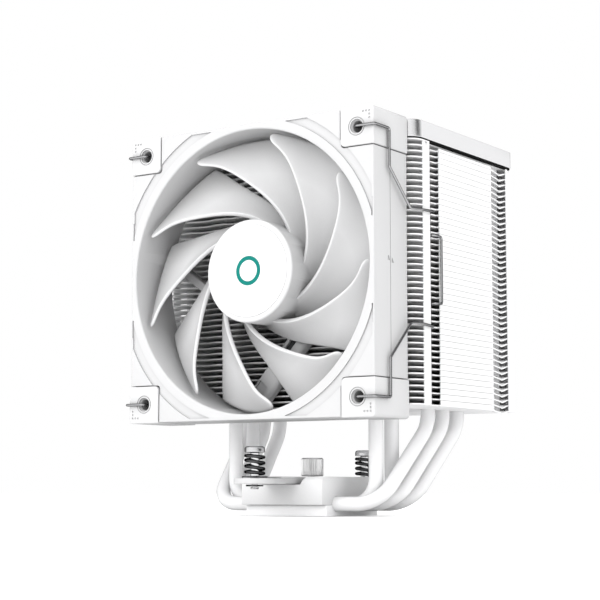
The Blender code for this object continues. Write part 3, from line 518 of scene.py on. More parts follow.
M["badge"] = surface("white_badge_print", (0.86, 0.86, 0.865), 0.3, grain=2400, bump=0.04, patch=60, vary=0.012, coat=0.3)
M["teal"] = surface("teal_badge_ink", (0.0, 0.20, 0.17), 0.5, grain=2600, bump=0.05, patch=200, vary=0.06, coat=0.0, spec=0.2)
# painted shadow: near-black for the strip put in the shaded gap under the cover
M["gap"] = surface("black_painted_shadow_strip", (0.008, 0.008, 0.008), 0.8, grain=1800, bump=0.1, spec=0.05)
M["cover"] = surface("satin_silver_white_cover", (0.86, 0.86, 0.87), 0.19, metal=0.9, grain=1800, bump=0.05, depth=0.000015, patch=25, vary=0.01, rough_var=0.03)
M["steel"] = brushed("turned_steel", (0.62, 0.62, 0.63), 0.16, (300, 300, 3500))
M["nickel"] = brushed("bright_nickel_screw", (0.74, 0.74, 0.75), 0.14, (350, 350, 2600), bump=0.08, vary=0.1)
M["wire"] = brushed("drawn_spring_wire", (0.50, 0.50, 0.51), 0.15, (2500, 2500, 350), bump=0.1)
M["knurl"] = brushed("knurled_steel", (0.97, 0.97, 0.97), 0.28, (5200, 5200, 60), bump=0.3, vary=0.15)
M["black"] = surface("black_chrome_spring", (0.11, 0.11, 0.113), 0.11, metal=1.0, grain=2500, bump=0.06, vary=0.3, patch=400, rough_var=0.04)
# painted reflection: dark rims painted into the spring, clip wire, screw and thumb screw colours
paint_dark_rim_reflection(M["black"], 0.99, 0.8)
paint_dark_rim_reflection(M["wire"], 0.97, 1.3)
paint_dark_rim_reflection(M["nickel"], 0.9, 2.5)
paint_dark_rim_reflection(M["knurl"], 0.7, 3.0)
# painted shadow: near-black for the sheet in the strut's slot
M["dark"] = surface("near_black_painted_slot_shadow", (0.03, 0.03, 0.032), 0.6, grain=1500, bump=0.2, vary=0.1)
M["copper"] = banded("wound_copper", (0.35, 0.12, 0.05), (0.85, 0.42, 0.2), 0.35, 0.9, 900.0, 'DIAGONAL', depth=0.0001)
M["lam"] = banded("stator_laminations", (0.16, 0.16, 0.17), (0.42, 0.42, 0.44), 0.45, 0.8, 640.0, 'Y')
M["board"] = board("motor_circuit_board")
M["magnet"] = surface("ferrite_magnet", (0.055, 0.055, 0.058), 0.65, grain=2600, bump=0.4, vary=0.2)
M["bronze"] = surface("sintered_bronze", (0.60, 0.42, 0.18), 0.4, metal=1.0, grain=3500, bump=0.3, vary=0.12)
M["cable"] = braid("white_cable_jacket", (0.66, 0.66, 0.66), 0.6)
M["yoke"] = brushed("pressed_steel_yoke", (0.55, 0.55, 0.56), 0.35, (400, 3000, 400))


def fin_coat_with_painted_shade(name, edge, shaded_face):
    """White coat with painted shade: the flat faces between the fins are painted darker than the bright edges."""
    m, nt, p = new_mat(name)
    geo = node(nt, "ShaderNodeNewGeometry")
    sep = node(nt, "ShaderNodeSeparateXYZ")
    nt.links.new(geo.outputs["True Normal"], sep.inputs[0])
    # mask of the flat faces, which take the darker painted shade colour
    up = math_node(nt, 'GREATER_THAN', math_node(nt, 'ABSOLUTE', sep.outputs["Z"]), 0.7)
    n1 = noise(nt, coords(nt), 60.0)
    n2 = noise(nt, coords(nt), 1800.0)
    a = ramp(nt, n1, [(0.3, shade(edge, 0.985)), (0.7, edge)])
    b = ramp(nt, n1, [(0.3, shade(shaded_face, 0.94)), (0.7, shade(shaded_face, 1.05))])
    mix = node(nt, "ShaderNodeMix", data_type='RGBA')
    nt.links.new(up, mix.inputs[0])
    nt.links.new(a, mix.inputs[6])
    nt.links.new(b, mix.inputs[7])
    nt.links.new(mix.outputs[2], p.inputs["Base Color"])
    nt.links.new(span(nt, n2, 0.45, 0.6), p.inputs["Roughness"])
    p.inputs["Specular IOR Level"].default_value = 0.3
    add_bump(nt, p, n2, 0.12, 0.00002)
    return m


# painted shade: the fin faces get a darker copy of the edge white
M["fin"] = fin_coat_with_painted_shade("white_fin_coat", (0.90, 0.90, 0.905), (0.84, 0.84, 0.845))
M["fold"] = surface("white_fin_fold", (0.87, 0.87, 0.875), 0.5, grain=1800, bump=0.12, patch=60, vary=0.015, spec=0.3)


def finish_piece(ob, key, body, replaces=()):
    ob.data.materials.clear()
    ob.data.materials.append(M[key])
    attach(ob, body)
    if replaces:
        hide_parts(*replaces)
    return ob


def dress(node_name, key):
    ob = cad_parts[node_name]
    ob.data.materials.clear()
    ob.data.materials.append(M[key])
    for s in ob.material_slots:
        s.material = M[key]


# ================================================================== heatsink
PIPE_R, PIPE_PITCH, PIPE_Z, PIPE_TOP = 3.0, 6.2, 5.0, 153.6
INNER_LEG_X, OUTER_LEG_X = 35.2, 46.0
ROWS = [(-2, 'outer'), (-1, 'inner'), (0, 'outer'), (1, 'inner'), (2, 'outer')]


def pipe_path(row, kind):
    y = row * PIPE_PITCH
    if kind == 'inner':
        pts = [(-INNER_LEG_X, y, PIPE_TOP), (-INNER_LEG_X, y, PIPE_Z), (INNER_LEG_X, y, PIPE_Z),
               (INNER_LEG_X, y, PIPE_TOP)]
        return fillet_path(pts, [10.5, 10.5], 5.0)
    yo = y + 30.0
    pts = [(-OUTER_LEG_X, yo, PIPE_TOP), (-OUTER_LEG_X, yo, 37.0), (-40.5, y, PIPE_Z),
           (40.5, y, PIPE_Z), (OUTER_LEG_X, yo, 37.0), (OUTER_LEG_X, yo, PIPE_TOP)]
    return fillet_path(pts, [14.0, 12.0, 12.0, 14.0], 4.0)


for i, (row, kind) in enumerate(ROWS):
    ob = make("pipe_%d_tube" % (i + 1), swept(pipe_path(row, kind), PIPE_R, 36, 2.6), 60)
    finish_piece(ob, "pipe", "heatsink", ["heat_pipe_%d" % (i + 1)])


def legs():
    out = []
    for row, kind in ROWS:
        x = INNER_LEG_X if kind == 'inner' else OUTER_LEG_X
        y = row * PIPE_PITCH + (0 if kind == 'inner' else 30.0)
        out += [(x, y), (-x, y)]
    return out


# -- contact plate and block, both with five pipe grooves
def groove_bars(name):
    return [raw(name + str(r), extruded(arc(r * PIPE_PITCH, PIPE_Z, 3.08, 0, 352.5, 47), -30, 30, 'X'))
            for r, _ in ROWS]


plate = raw("contact_plate", extruded(round_corners([(-20, -20), (20, -20), (20, 20), (-20, 20)], 0.9),
                                      0.0, 4.47))
plate = bevel(plate, 0.25, 2)
plate = combine(plate, groove_bars("g"))
finish_piece(plate, "plate", "heatsink", ["base_plate"])

blk = raw("base_block_body", extruded(
    [(-23, 4.55), (23, 4.55), (23, 14.6), (21.6, 16.0), (-21.6, 16.0), (-23, 14.6)], -20, 20, 'X'))
blk = bevel(blk, 0.3, 2)
ch = raw("ch", extruded([(-9.3, 12.7), (9.3, 12.7), (13.0, 18.2), (-13.0, 18.2)], -30, 30, 'Y'))
hole = raw("hole", turned([(0, 9.2), (2.4, 9.2), (2.4, 20.0), (0, 20.0)], 40))
blk = combine(blk, groove_bars("h") + [ch, hole])
finish_piece(blk, "coat", "heatsink", ["base_block"])

# -- fins: one punched plate, forty-five times, and their folded tabs
FIN_X, FIN_F, FIN_B = 63.5, -21.3, 63.4
Z0, Z1, FIN_T, FINS = 43.9, 150.25, 0.5, 45
PITCH = (Z1 - Z0 - FIN_T) / (FINS - 1)


DENT_X = 60.3


def fin_side(inset):
    """Right-hand side of a fin; the top fin steps in behind the cover's edge."""
    xm = FIN_X - inset
    if inset:
        pts = arc(FIN_X - 6.0, FIN_F + 6.0, 6.0, -90, 0, 10)
        pts += [(FIN_X, -10.0), (60.3, -9.8), (60.0, -9.5), (60.0, -7.0), (xm, -6.5)]
        return pts + arc(xm - 1.8, FIN_B - 1.8, 1.8, 0, 90, 6)
    pts = arc(FIN_X - 6.0, FIN_F + 6.0, 6.0, -90, 0, 10)
    pts += [(FIN_X, -10.0), (60.3, -9.8), (60.0, -9.5), (60.0, -7.0), (60.2, -6.7), (61.8, -6.4),
            (62.1, -2.6), (xm, -2.3), (xm, 43.1), (DENT_X, 43.2), (DENT_X, 57.0), (xm, 57.1)]
    return pts + arc(xm - 1.8, FIN_B - 1.8, 1.8, 0, 90, 6)


def fin_front():
    """Stepped front edge, from left to right."""
    pts = []
    x = -51.0
    step = 8.5
    k = 0
    while x < 51.5:
        d = 1.3 if k % 2 else 0.0
        pts += [(x - 2.6, FIN_F + d), (x + 2.6, FIN_F + d)]
        x += step
        k += 1
    return pts


def fin_plate(inset):
    right = fin_side(inset)
    outline = fin_front() + right + [(-a, b) for a, b in reversed(right)]
    bm = bmesh.new()
    loops = [outline] + [arc(x, y, 3.04, 0, 345, 23) for x, y in legs()]
    for loop in loops:
        vs = [bm.verts.new((a, b, 0)) for a, b in loop]
        for a, b in zip(vs, vs[1:] + vs[:1]):
            bm.edges.new((a, b))
    bmesh.ops.triangle_fill(bm, use_beauty=True, use_dissolve=False, edges=bm.edges[:])
    res = bmesh.ops.extrude_face_region(bm, geom=bm.faces[:])
    bmesh.ops.translate(bm, vec=(0, 0, FIN_T), verts=[g for g in res["geom"] if isinstance(g, bmesh.types.BMVert)])
    bmesh.ops.recalc_face_normals(bm, faces=bm.faces)
    return bm


def dent(side):
    """The pressed V in a fin's rear side edge: a strip that dips and rises."""
    bm = bmesh.new()
    ys = [43.2, 44.2, 46.4, 48.6, 50.8, 52.0, 52.7, 53.4, 54.5, 55.8, 57.0]
    dips = [0.0, 0.10, 0.40, 0.70, 1.0, 1.15, 1.18, 1.08, 0.72, 0.28, 0.0]
    xs = [DENT_X, 61.1, 62.0, 62.9]
    rows = []
    for t in (0.0, FIN_T):
        sheet = []
        for y, d in zip(ys, dips):
            e = 62.9 - 0.7 * math.exp(-((y - 52.7) / 1.0) ** 2)
            line = []
            for k, x in enumerate(xs):
                w = k / (len(xs) - 1)
                xx = DENT_X + (e - DENT_X) * w
                line.append(bm.verts.new((side * xx, y, t - d * w ** 0.8)))
            sheet.append(line)
        rows.append(sheet)
    low, top = rows
    for i in range(len(ys) - 1):
        for k in range(len(xs) - 1):
            bm.faces.new((low[i][k], low[i][k + 1], low[i + 1][k + 1], low[i + 1][k]))
            bm.faces.new((top[i][k], top[i + 1][k], top[i + 1][k + 1], top[i][k + 1]))
    for k in range(len(xs) - 1):
        for i in (0, len(ys) - 1):
            bm.faces.new((low[i][k], top[i][k], top[i][k + 1], low[i][k + 1]))
    for i in range(len(ys) - 1):
        for k in (0, len(xs) - 1):
            bm.faces.new((low[i][k], low[i + 1][k], top[i + 1][k], top[i][k]))
    return bm


plates = []
for name, parts in (("fin_full", (fin_plate(0.0), dent(-1), dent(1))), ("fin_top", (fin_plate(2.4),))):
    me = bpy.data.meshes.new(name)
    whole = merged(parts)
    whole.to_mesh(me)
    whole.free()
    plates.append(me)
allf = bmesh.new()
for i in range(FINS):
    start = len(allf.verts)
    allf.from_mesh(plates[1 if i == FINS - 1 else 0])
    allf.verts.ensure_lookup_table()
    bmesh.ops.translate(allf, vec=(0, 0, Z0 + i * PITCH), verts=allf.verts[start:])
for me in plates:
    bpy.data.meshes.remove(me)
fins = make("fin_plates", allf, 30)
finish_piece(fins, "fin", "heatsink", ["fin_stack"])

def latch_notch(y0, y1, z0, z1):
    """Tab outline with a small T cut down from its top edge."""
    c = (y0 + y1) / 2
    return [(y0, z0), (y1, z0), (y1, z1), (c + 0.95, z1), (c + 0.95, z1 - 0.5), (c + 0.38, z1 - 0.5),
            (c + 0.38, z1 - 1.45), (c - 0.38, z1 - 1.45), (c - 0.38, z1 - 0.5), (c - 0.95, z1 - 0.5),
            (c - 0.95, z1), (y0, z1)]


tabs = []
for i in range(FINS - 1):
    z = Z0 + i * PITCH + FIN_T
    full = PITCH - FIN_T
    last = i == FINS - 2
    for side in (-1, 1):
        for (y0, y1), gap in (((-15.3, -10.0), 0.02), ((-2.3, 43.1), 0.13), ((57.1, 61.6), 0.02)):
            x0, x1 = FIN_X - 0.42, FIN_X
            if last and gap > 0.1:
                gap = full - 0.8
            if last and gap < 0.1:
                edge = latch_notch(y0, y1, z, z + full - gap)
                lo, hi = sorted((side * x0, side * x1))
                tabs.append(extruded(edge, lo, hi, 'X'))
                continue
            pts = [(x0, z), (x1, z), (x1, z + full - gap - 0.05), (x1 - 0.06, z + full - gap), (x0, z + full - gap)]
            tabs.append(extruded([(side * a, b) for a, b in pts], y0, y1, 'Y'))
        # a set-back fold closes the notch
        lo, hi = sorted((side * (DENT_X - 1.5), side * (DENT_X - 1.1)))
        tabs.append(block((lo, 43.4, z), (hi, 56.8, z + full - 0.02)))
        # short folds along the rear edge, next to the corners
        lo, hi = sorted((side * 43.0, side * 63.0))
        tabs.append(block((lo, 62.45, z), (hi, 62.85, z + full - 0.02)))
fold = make("fin_folded_tabs", merged(tabs), 30)
finish_piece(fold, "fold", "heatsink", [])


# -- top cover: a bright painted shell over the pipe tips
def cover_outline(shrink):
    xs, f, b = FIN_X - shrink, FIN_F + shrink, FIN_B - shrink
    rf, rb = max(6.0 - shrink, 1.0), max(2.2 - shrink, 0.6)
    half = arc(xs - rf, f + rf, rf, -90, 0, 16) + arc(xs - rb, b - rb, rb, 0, 90, 8)
    return half + [(-x, y) for x, y in reversed(half)]


cov = raw("top_cover_shell", extruded(cover_outline(0.0), 150.95, 158.0))
cov = bevel(cov, 0.16, 3, 60)
pocket = raw("pocket", extruded(cover_outline(1.3), 149.0, 156.7))
cov = combine(cov, [pocket])
finish_piece(cov, "cover", "heatsink", ["top_cover"])
# painted shadow: a near-black strip just inside the cover's lower edge stands in for the shade in the gap above the
# fins
shadow_strip = raw("top_cover_painted_shadow_strip", extruded(cover_outline(0.4), 150.27, 151.0))
lcut = raw("lcut", extruded(cover_outline(4.0), 149.0, 152.0))
shadow_strip = combine(shadow_strip, [lcut])
finish_piece(shadow_strip, "gap", "heatsink", [])

# -- crossbar
BAR_Y, END_R, WAIST = 41.5, 8.4, 7.2
a0 = math.degrees(math.asin(WAIST / END_R))
half = arc(0, -BAR_Y, END_R, -90, 90 - a0, 24) + arc(0, BAR_Y, END_R, -90 + a0, 90, 24)
bar = raw("crossbar_body", extruded(half + [(-x, y) for x, y in reversed(half)][1:-1], 13.0, 15.2))
bar = bevel(bar, 0.3, 3, 60)
rib = raw("rib", extruded(round_corners([(-6.9, -32), (6.9, -32), (6.9, 32), (-6.9, 32)], 1.2), 13.4, 16.0))
rib = bevel(rib, 0.35, 3, 60)
bar = combine(bar, [rib], 'UNION')
bar = combine(bar, [raw("bh%d" % k, turned([(0, 10), (q, 10), (q, 20), (0, 20)], 40, 'Z', (0, y, 0)))
                    for k, (y, q) in enumerate(((-BAR_Y, 2.3), (0, 2.4), (BAR_Y, 2.3)))])
bar = combine(bar, [raw("relief", block((-10.5, -30.0, 11.0), (10.5, 30.0, 13.2)))])
finish_piece(bar, "bar", "heatsink", ["crossbar"])

# -- knurled thumb screw
bm = bmesh.new()
ribs, per = 44, 4
n = ribs * per


def flute(k, z):
    t = (k % per) / per
    tooth = 0.5 + 0.5 * math.cos(2 * math.pi * t)
    depth = 0.26
    taper = min(1.0, max(0.0, (z - 16.4) / 0.9), max(0.0, (24.0 - z) / 1.1))
    return 4.8 - 0.05 - depth * tooth * min(1.0, taper * 1.5)


levels = [(16.4, 4.25), (16.6, 4.55), (16.95, None), (20.0, None), (23.0, None), (23.35, None),
          (23.8, 4.4), (24.0, 4.1)]
rings = []
for z, fixed in levels:
    ring = []
    for k in range(n):
        r = fixed if fixed else flute(k, z)
        a = 2 * math.pi * k / n
        ring.append(bm.verts.new((r * math.cos(a), r * math.sin(a), z)))
    rings.append(ring)
dish = [(3.4, 24.0), (3.1, 23.75), (0.6, 23.7)]
for r, z in dish:
    rings.append([bm.verts.new((r * math.cos(2 * math.pi * k / n), r * math.sin(2 * math.pi * k / n), z))
                  for k in range(n)])
shank = [(2.0, 9.6), (2.0, 16.4)]
low = [[bm.verts.new((r * math.cos(2 * math.pi * k / n), r * math.sin(2 * math.pi * k / n), z))
        for k in range(n)] for r, z in shank]
order = low + rings
for a, b in zip(order[:-1], order[1:]):
    for k in range(n):
        k2 = (k + 1) % n
        bm.faces.new((a[k], a[k2], b[k2], b[k]))
bm.faces.new(list(reversed(low[0])))
bm.faces.new(rings[-1])
ob = make("thumb_screw_knurled", bm, 25)
finish_piece(ob, "knurl", "thumb_screw", ["thumb_screw"])


# -- sprung screws, springs, washers, retainer rings
def thread(y, z_lo, z_hi, r, depth, pitch, segs=40):
    """A helical thread: the radius follows a wave that climbs one pitch a turn."""
    bm = bmesh.new()
    rows = int((z_hi - z_lo) / (pitch / 8))
    rings = []
    for i in range(rows + 1):
        z = z_lo + (z_hi - z_lo) * i / rows
        fade = min(1.0, i / 3.0, (rows - i) / 3.0)
        ring = []
        for k in range(segs):
            a = 2 * math.pi * k / segs
            ph = (z / pitch - k / segs) % 1.0
            w = abs(2 * ph - 1)
            rr = r - depth * (1 - w) * fade - (0.35 * (1 - min(1.0, i / 3.0)))
            ring.append(bm.verts.new((rr * math.cos(a), y + rr * math.sin(a), z)))
        rings.append(ring)
    for a, b in zip(rings[:-1], rings[1:]):
        for k in range(segs):
            k2 = (k + 1) % segs
            bm.faces.new((a[k], a[k2], b[k2], b[k]))
    bm.faces.new(list(reversed(rings[0])))
    bm.faces.new(rings[-1])
    return bm


for tag, y in (("front", -BAR_Y), ("rear", BAR_Y)):
    prof = [(0, 11.68), (1.15, 11.68), (1.15, 12.98), (1.75, 12.98), (1.75, 25.5), (3.9, 25.5),
            (4.1, 25.7), (4.1, 28.0), (0, 28.0)]
    prof = rounded_profile(prof, [0, 0, 0, 0.1, 0.3, 0.15, 0.15, 1.15, 0], 9)
    head = raw("spring_screw_body_" + tag, turned(prof, 56, 'Z', (0, y, 0)))
    arm = 2.4
    cross = extruded(round_corners(
        [(-0.45, y - arm), (0.45, y - arm), (0.45, y - 0.45), (arm, y - 0.45), (arm, y + 0.45),
         (0.45, y + 0.45), (0.45, y + arm), (-0.45, y + arm), (-0.45, y + 0.45), (-arm, y + 0.45),
         (-arm, y - 0.45), (-0.45, y - 0.45)], 0.12, 3), 26.8, 30)
    head = combine(head, [raw("x", cross)])
    th = raw("t", thread(y, 10.9, 11.75, 1.75, 0.22, 0.5))
    head = combine(head, [th], 'UNION')
    finish_piece(head, "nickel", "screw_" + tag, ["spring_screw_" + tag])

    prof = rounded_profile([(2.1, 15.5), (5.2, 15.5), (5.2, 16.0), (2.1, 16.0)], 0.12, 3)
    ob = make("washer_ring_" + tag, turned(prof, 64, 'Z', (0, y, 0)), 50)
    finish_piece(ob, "black", "heatsink", ["washer_" + tag])

    # the coil, with closed end turns
    wire = 0.66
    lo, hi = 16.3 + wire, 25.2 - wire
    rise = 2 * wire * 0.72
    turns = (hi - lo - 2 * rise) / 2.36 + 1.5
    path = []
    steps = int(turns * 40)
    for i in range(steps + 1):
        t = turns * i / steps
        if t < 0.75:
            z = lo + rise * t / 0.75
        elif t > turns - 0.75:
            z = hi - rise * (turns - t) / 0.75
        else:
            z = lo + rise + (t - 0.75) * 2.36
        a = 2 * math.pi * (turns - t) + 2.35
        path.append(Vector((3.6 * math.cos(a), y + 3.6 * math.sin(a), z)))
    ob = make("spring_coil_" + tag, swept(path, wire, 18, 0.4), 60)
    finish_piece(ob, "black", "heatsink", ["spring_" + tag])
    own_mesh(ob)

    ring = arc(0, y, 3.5, 35, 325, 48) + list(reversed(arc(0, y, 1.5, 45, 315, 40)))
    ob = raw("retainer_ring_" + tag, extruded(ring, 12.0, 12.7))
    ob = bevel(ob, 0.1, 2, 50)
    finish_piece(ob, "black", "retainer_" + tag, ["retainer_" + tag])

# ======================================================================= fan
FF, FR, BORE = -47.3, -22.3, 57.75
H, NOTCH = 60.0, 44.7
outline = []
quarter = [(NOTCH, H), (NOTCH, NOTCH), (H, NOTCH)]
for sx, sz, flip in ((1, 1, False), (1, -1, True), (-1, -1, False), (-1, 1, True)):
    pts = [(sx * a, FAN_Z + sz * b) for a, b in quarter]
    outline += list(reversed(pts)) if flip else pts
fr = raw("fan_frame_body", extruded(round_corners(outline, [0.3, 1.5, 0.3] * 4, 4), FF, FR, 'Y'))
fr = bevel(fr, 0.55, 3, 60)
lip = [(0, FF - 4), (BORE + 0.7, FF - 4), (BORE + 0.7, FF)]
lip += [(BORE + 0.7 * (1 - math.sin(math.radians(t))), FF + 0.7 * (1 - math.cos(math.radians(t))))
        for t in (15, 30, 45, 60, 75, 90)]
lip += [(BORE, FR - 1.2), (BORE + 0.5, FR - 0.2), (BORE + 0.5, FR + 3), (0, FR + 3)]
cuts = [raw("bore", turned(lip, 240, 'Y', (0, 0, FAN_Z)))]
# crescents round the ring, one for each corner
LIM = 59.3


def crescent(sx, sz):
    r0, r1 = 61.7, 65.7
    t0 = math.degrees(math.acos(LIM / r0))
    t1 = math.degrees(math.acos(LIM / r1))
    pts = arc(0, 0, r0, t0 + 1.0, 89 - t0, 40) + list(reversed(arc(0, 0, r1, t1 + 0.5, 89.5 - t1, 30)))
    pts = round_corners(pts, [1.0 if i in (0, 40, 41, len(pts) - 1) else 0 for i in range(len(pts))], 5)
    return extruded([(sx * a, FAN_Z + sz * b) for a, b in pts], FF - 2, FF + 0.65, 'Y')


for k, (sx, sz) in enumerate(((1, 1), (1, -1), (-1, -1), (-1, 1))):
    cuts.append(raw("cr%d" % k, crescent(sx, sz)))
for sx in (-1, 1):
    cuts.append(raw("sl%d" % sx, block((sx * 60 - 0.32, -35.25, 55.2), (sx * 60 + 0.32, -34.9, 141.6))))
    for k, (yc, zc) in enumerate(((-36.5, 100.2), (-33.7, 99.4))):
        tri = [(yc, zc + 1.1), (yc + 1.1, zc - 1.0), (yc - 1.1, zc - 1.0)]
        cuts.append(raw("tr%d%d" % (sx, k), extruded(tri, sx * 60 - 0.4, sx * 60 + 0.4, 'X')))
    # thin steps down the front edge, above and below the middle
    for sz in (-1, 1):
        lo, hi = sorted((FAN_Z + sz * 17.0, FAN_Z + sz * 24.3))
        cuts.append(raw("fs%d%d" % (sx, sz), block((sx * 59.15 - 0.3, FF - 1, lo), (sx * 59.15 + 0.3, FF + 0.7, hi))))
fr = combine(fr, cuts)

MOTOR_R = 22.5
base = rounded_profile([(0, -22.3), (MOTOR_R, -22.3), (MOTOR_R, -25.6), (4.8, -25.6), (4.8, -40.0),
                        (4.0, -40.0), (4.0, -23.3), (0, -23.3)], [0, 0.3, 0.5, 0.4, 0, 0, 0, 0], 4)
adds = [raw("mb", turned(base, 96, 'Y', (0, 0, FAN_Z)))]
def strut_line(k, offset):
    tilt = math.radians(48.6 if k == 0 else 55.0)
    u = Vector((math.cos(tilt), math.sin(tilt)))
    nn = Vector((u.y, -u.x)) * offset
    a, b = nn + u * 2.0, nn - u * (math.sqrt(BORE ** 2 - offset ** 2) + 1.2)
    rot = Matrix.Rotation(-math.pi / 2 * k, 2)
    return rot @ a, rot @ b


def bar_outline(a, b, w):
    d = (b - a).normalized()
    nn = Vector((-d.y, d.x)) * (w / 2)
    return [(p.x, FAN_Z + p.y) for p in (a - nn, b - nn, b + nn, a + nn)]


def strut(k):
    """Three plain struts and a wide one for the cable, round on its outer side."""
    wide = k == 0
    a, b = strut_line(k, CABLE_STRUT if wide else 23.7)
    w, r = (4.5, 2.2) if wide else (1.8, 0.7)
    d = (b - a).normalized()
    nn = Vector((-d.y, d.x))
    section = round_corners([(-w, -22.6), (-w, -26.8), (w, -26.8), (w, -22.6)], [0, 0.7, r, 0], 6)
    bm = bmesh.new()
    ends = [[bm.verts.new((p.x + nn.x * t, y, FAN_Z + p.y + nn.y * t)) for t, y in section] for p in (a, b)]
    n = len(section)
    for i in range(n):
        j = (i + 1) % n
        bm.faces.new((ends[0][i], ends[0][j], ends[1][j], ends[1][i]))
    bm.faces.new(list(reversed(ends[0])))
    bm.faces.new(ends[1])
    return bm


CABLE_STRUT = 26.0
for k in range(4):
    adds.append(raw("st%d" % k, strut(k)))
fr = combine(fr, adds, 'UNION')


def on_strut(s, o):
    """A point s along the wide strut and o across it."""
    a, b = strut_line(0, CABLE_STRUT)
    d = (b - a).normalized()
    return a + d * s + Vector((-d.y, d.x)) * o


def cable_run():
    a, b = strut_line(0, CABLE_STRUT)
    d = (b - a).normalized()
    return [a + d * 9.0, Vector((-19.0, -57.0)), Vector((-33.0, -51.0)), Vector((-47.0, -38.5)),
            Vector((-60.5, -38.5))]


run = cable_run()
run = run[:-1] + [run[-1] + Vector((-4, 0))]
cuts = []
for i in range(len(run) - 1):
    d = (run[i + 1] - run[i]).normalized()
    cuts.append(raw("cc%d" % i, extruded(bar_outline(run[i] - d * 1.6, run[i + 1] + d * 1.6, 3.6),
                                         -25.5, FR + 2 + 0.1 * i, 'Y')))
# a long slot and a shallow pocket in the wide strut's front
cuts.append(raw("pk", extruded(bar_outline(on_strut(39.3, -1.2), on_strut(44.2, -1.2), 4.9), -30, -25.75, 'Y')))
cuts.append(raw("slot", extruded(bar_outline(on_strut(9.0, -1.4), on_strut(25.0, -1.4), 2.7), -30, -25.75, 'Y')))
fr = combine(fr, cuts)
finish_piece(fr, "frame", "fan", ["fan_frame"])

# painted shadow: a thin near-black sheet on the slot floor stands in for the shade inside the slot
ob = raw("cable_strut_slot_painted_shadow", extruded(bar_outline(on_strut(9.1, -1.4), on_strut(24.9, -1.4), 2.5),
                                            -25.86, -25.77, 'Y'))
finish_piece(ob, "dark", "fan", [])

# -- corner pads with a ring boss round the hole and five grip dimples
P, Q = 45.0, 60.35
for tag, sx, sz in (("top_left", -1, 1), ("top_right", 1, 1), ("bottom_left", -1, -1), ("bottom_right", 1, -1)):
    pts = round_corners([(P, P), (Q, P), (Q, Q), (P, Q)], [2.0, 0.5, 1.6, 0.5], 7)
    pad = raw("corner_pad_body_" + tag, extruded([(sx * a, FAN_Z + sz * b) for a, b in pts], -47.65, -21.95, 'Y'))
    pad = bevel(pad, 0.4, 3, 60)
    c = (sx * 52.5, 0, FAN_Z + sz * 52.5)
    hole = raw("h", turned(rounded_profile(
        [(0, -60), (2.9, -60), (2.9, -47.2), (2.25, -46.5), (2.25, -10), (0, -10)], [0, 0, 0.1, 0.3, 0, 0], 3), 48, 'Y', c))
    ringcut = raw("r", turned(rounded_profile(
        [(3.35, -60), (3.75, -60), (3.75, -47.35), (3.35, -47.35)], 0.1, 2), 56, 'Y', c))
    dots = []
    for k, (u, v) in enumerate(((58.4, 58.1), (57.0, 58.1), (55.6, 58.1), (58.4, 56.7), (58.4, 55.3))):
        dots.append(raw("d%d" % k, turned([(0, -60), (0.42, -60), (0.42, -47.42), (0, -47.42)], 14, 'Y',
                                          (sx * u, 0, FAN_Z + sz * v))))
    pad = combine(pad, [hole, ringcut] + dots)
    finish_piece(pad, "pad", "fan", ["corner_pad_" + tag])

# -- motor inside, already the right shape
for nme in ("stator_coil_1", "stator_coil_2", "stator_coil_3", "stator_coil_4"):
    dress(nme, "copper")
dress("stator_core", "lam")
dress("motor_board", "board")
dress("bearing_sleeve", "bronze")
dress("rotor_yoke", "yoke")
dress("rotor_magnet", "magnet")
dress("shaft_washer", "magnet")
dress("fan_shaft", "steel")


# -- impeller
def blade_edges(s):
    lead_a = 2.118 + 0.856 * s + 0.764 * s ** 2 + 1.141 * s ** 3
    lead_y = -45.1 - 12.9 * s - 8.3 * s ** 2 - 3.2 * s ** 3
    trail_a = 1.450 + 0.476 * s + 0.466 * s ** 2 + 1.051 * s ** 3
    trail_y = -28.0 + 1.35 * s
    return lead_a, lead_y, trail_a, trail_y


def tip_cut(d, fillet=2.6, lean=1.45, width=46.0):
    """Share of the chord taken off the leading corner at depth d from the tip."""
    corner = math.atan2(1.0, lean)
    back = fillet / math.tan(corner / 2)
    if d > fillet * (1 + math.cos(corner)):
        return 0.0
    at = back - math.sqrt(max(0.0, fillet ** 2 - (fillet - d) ** 2))
    return max(0.0, at - lean * d) / width


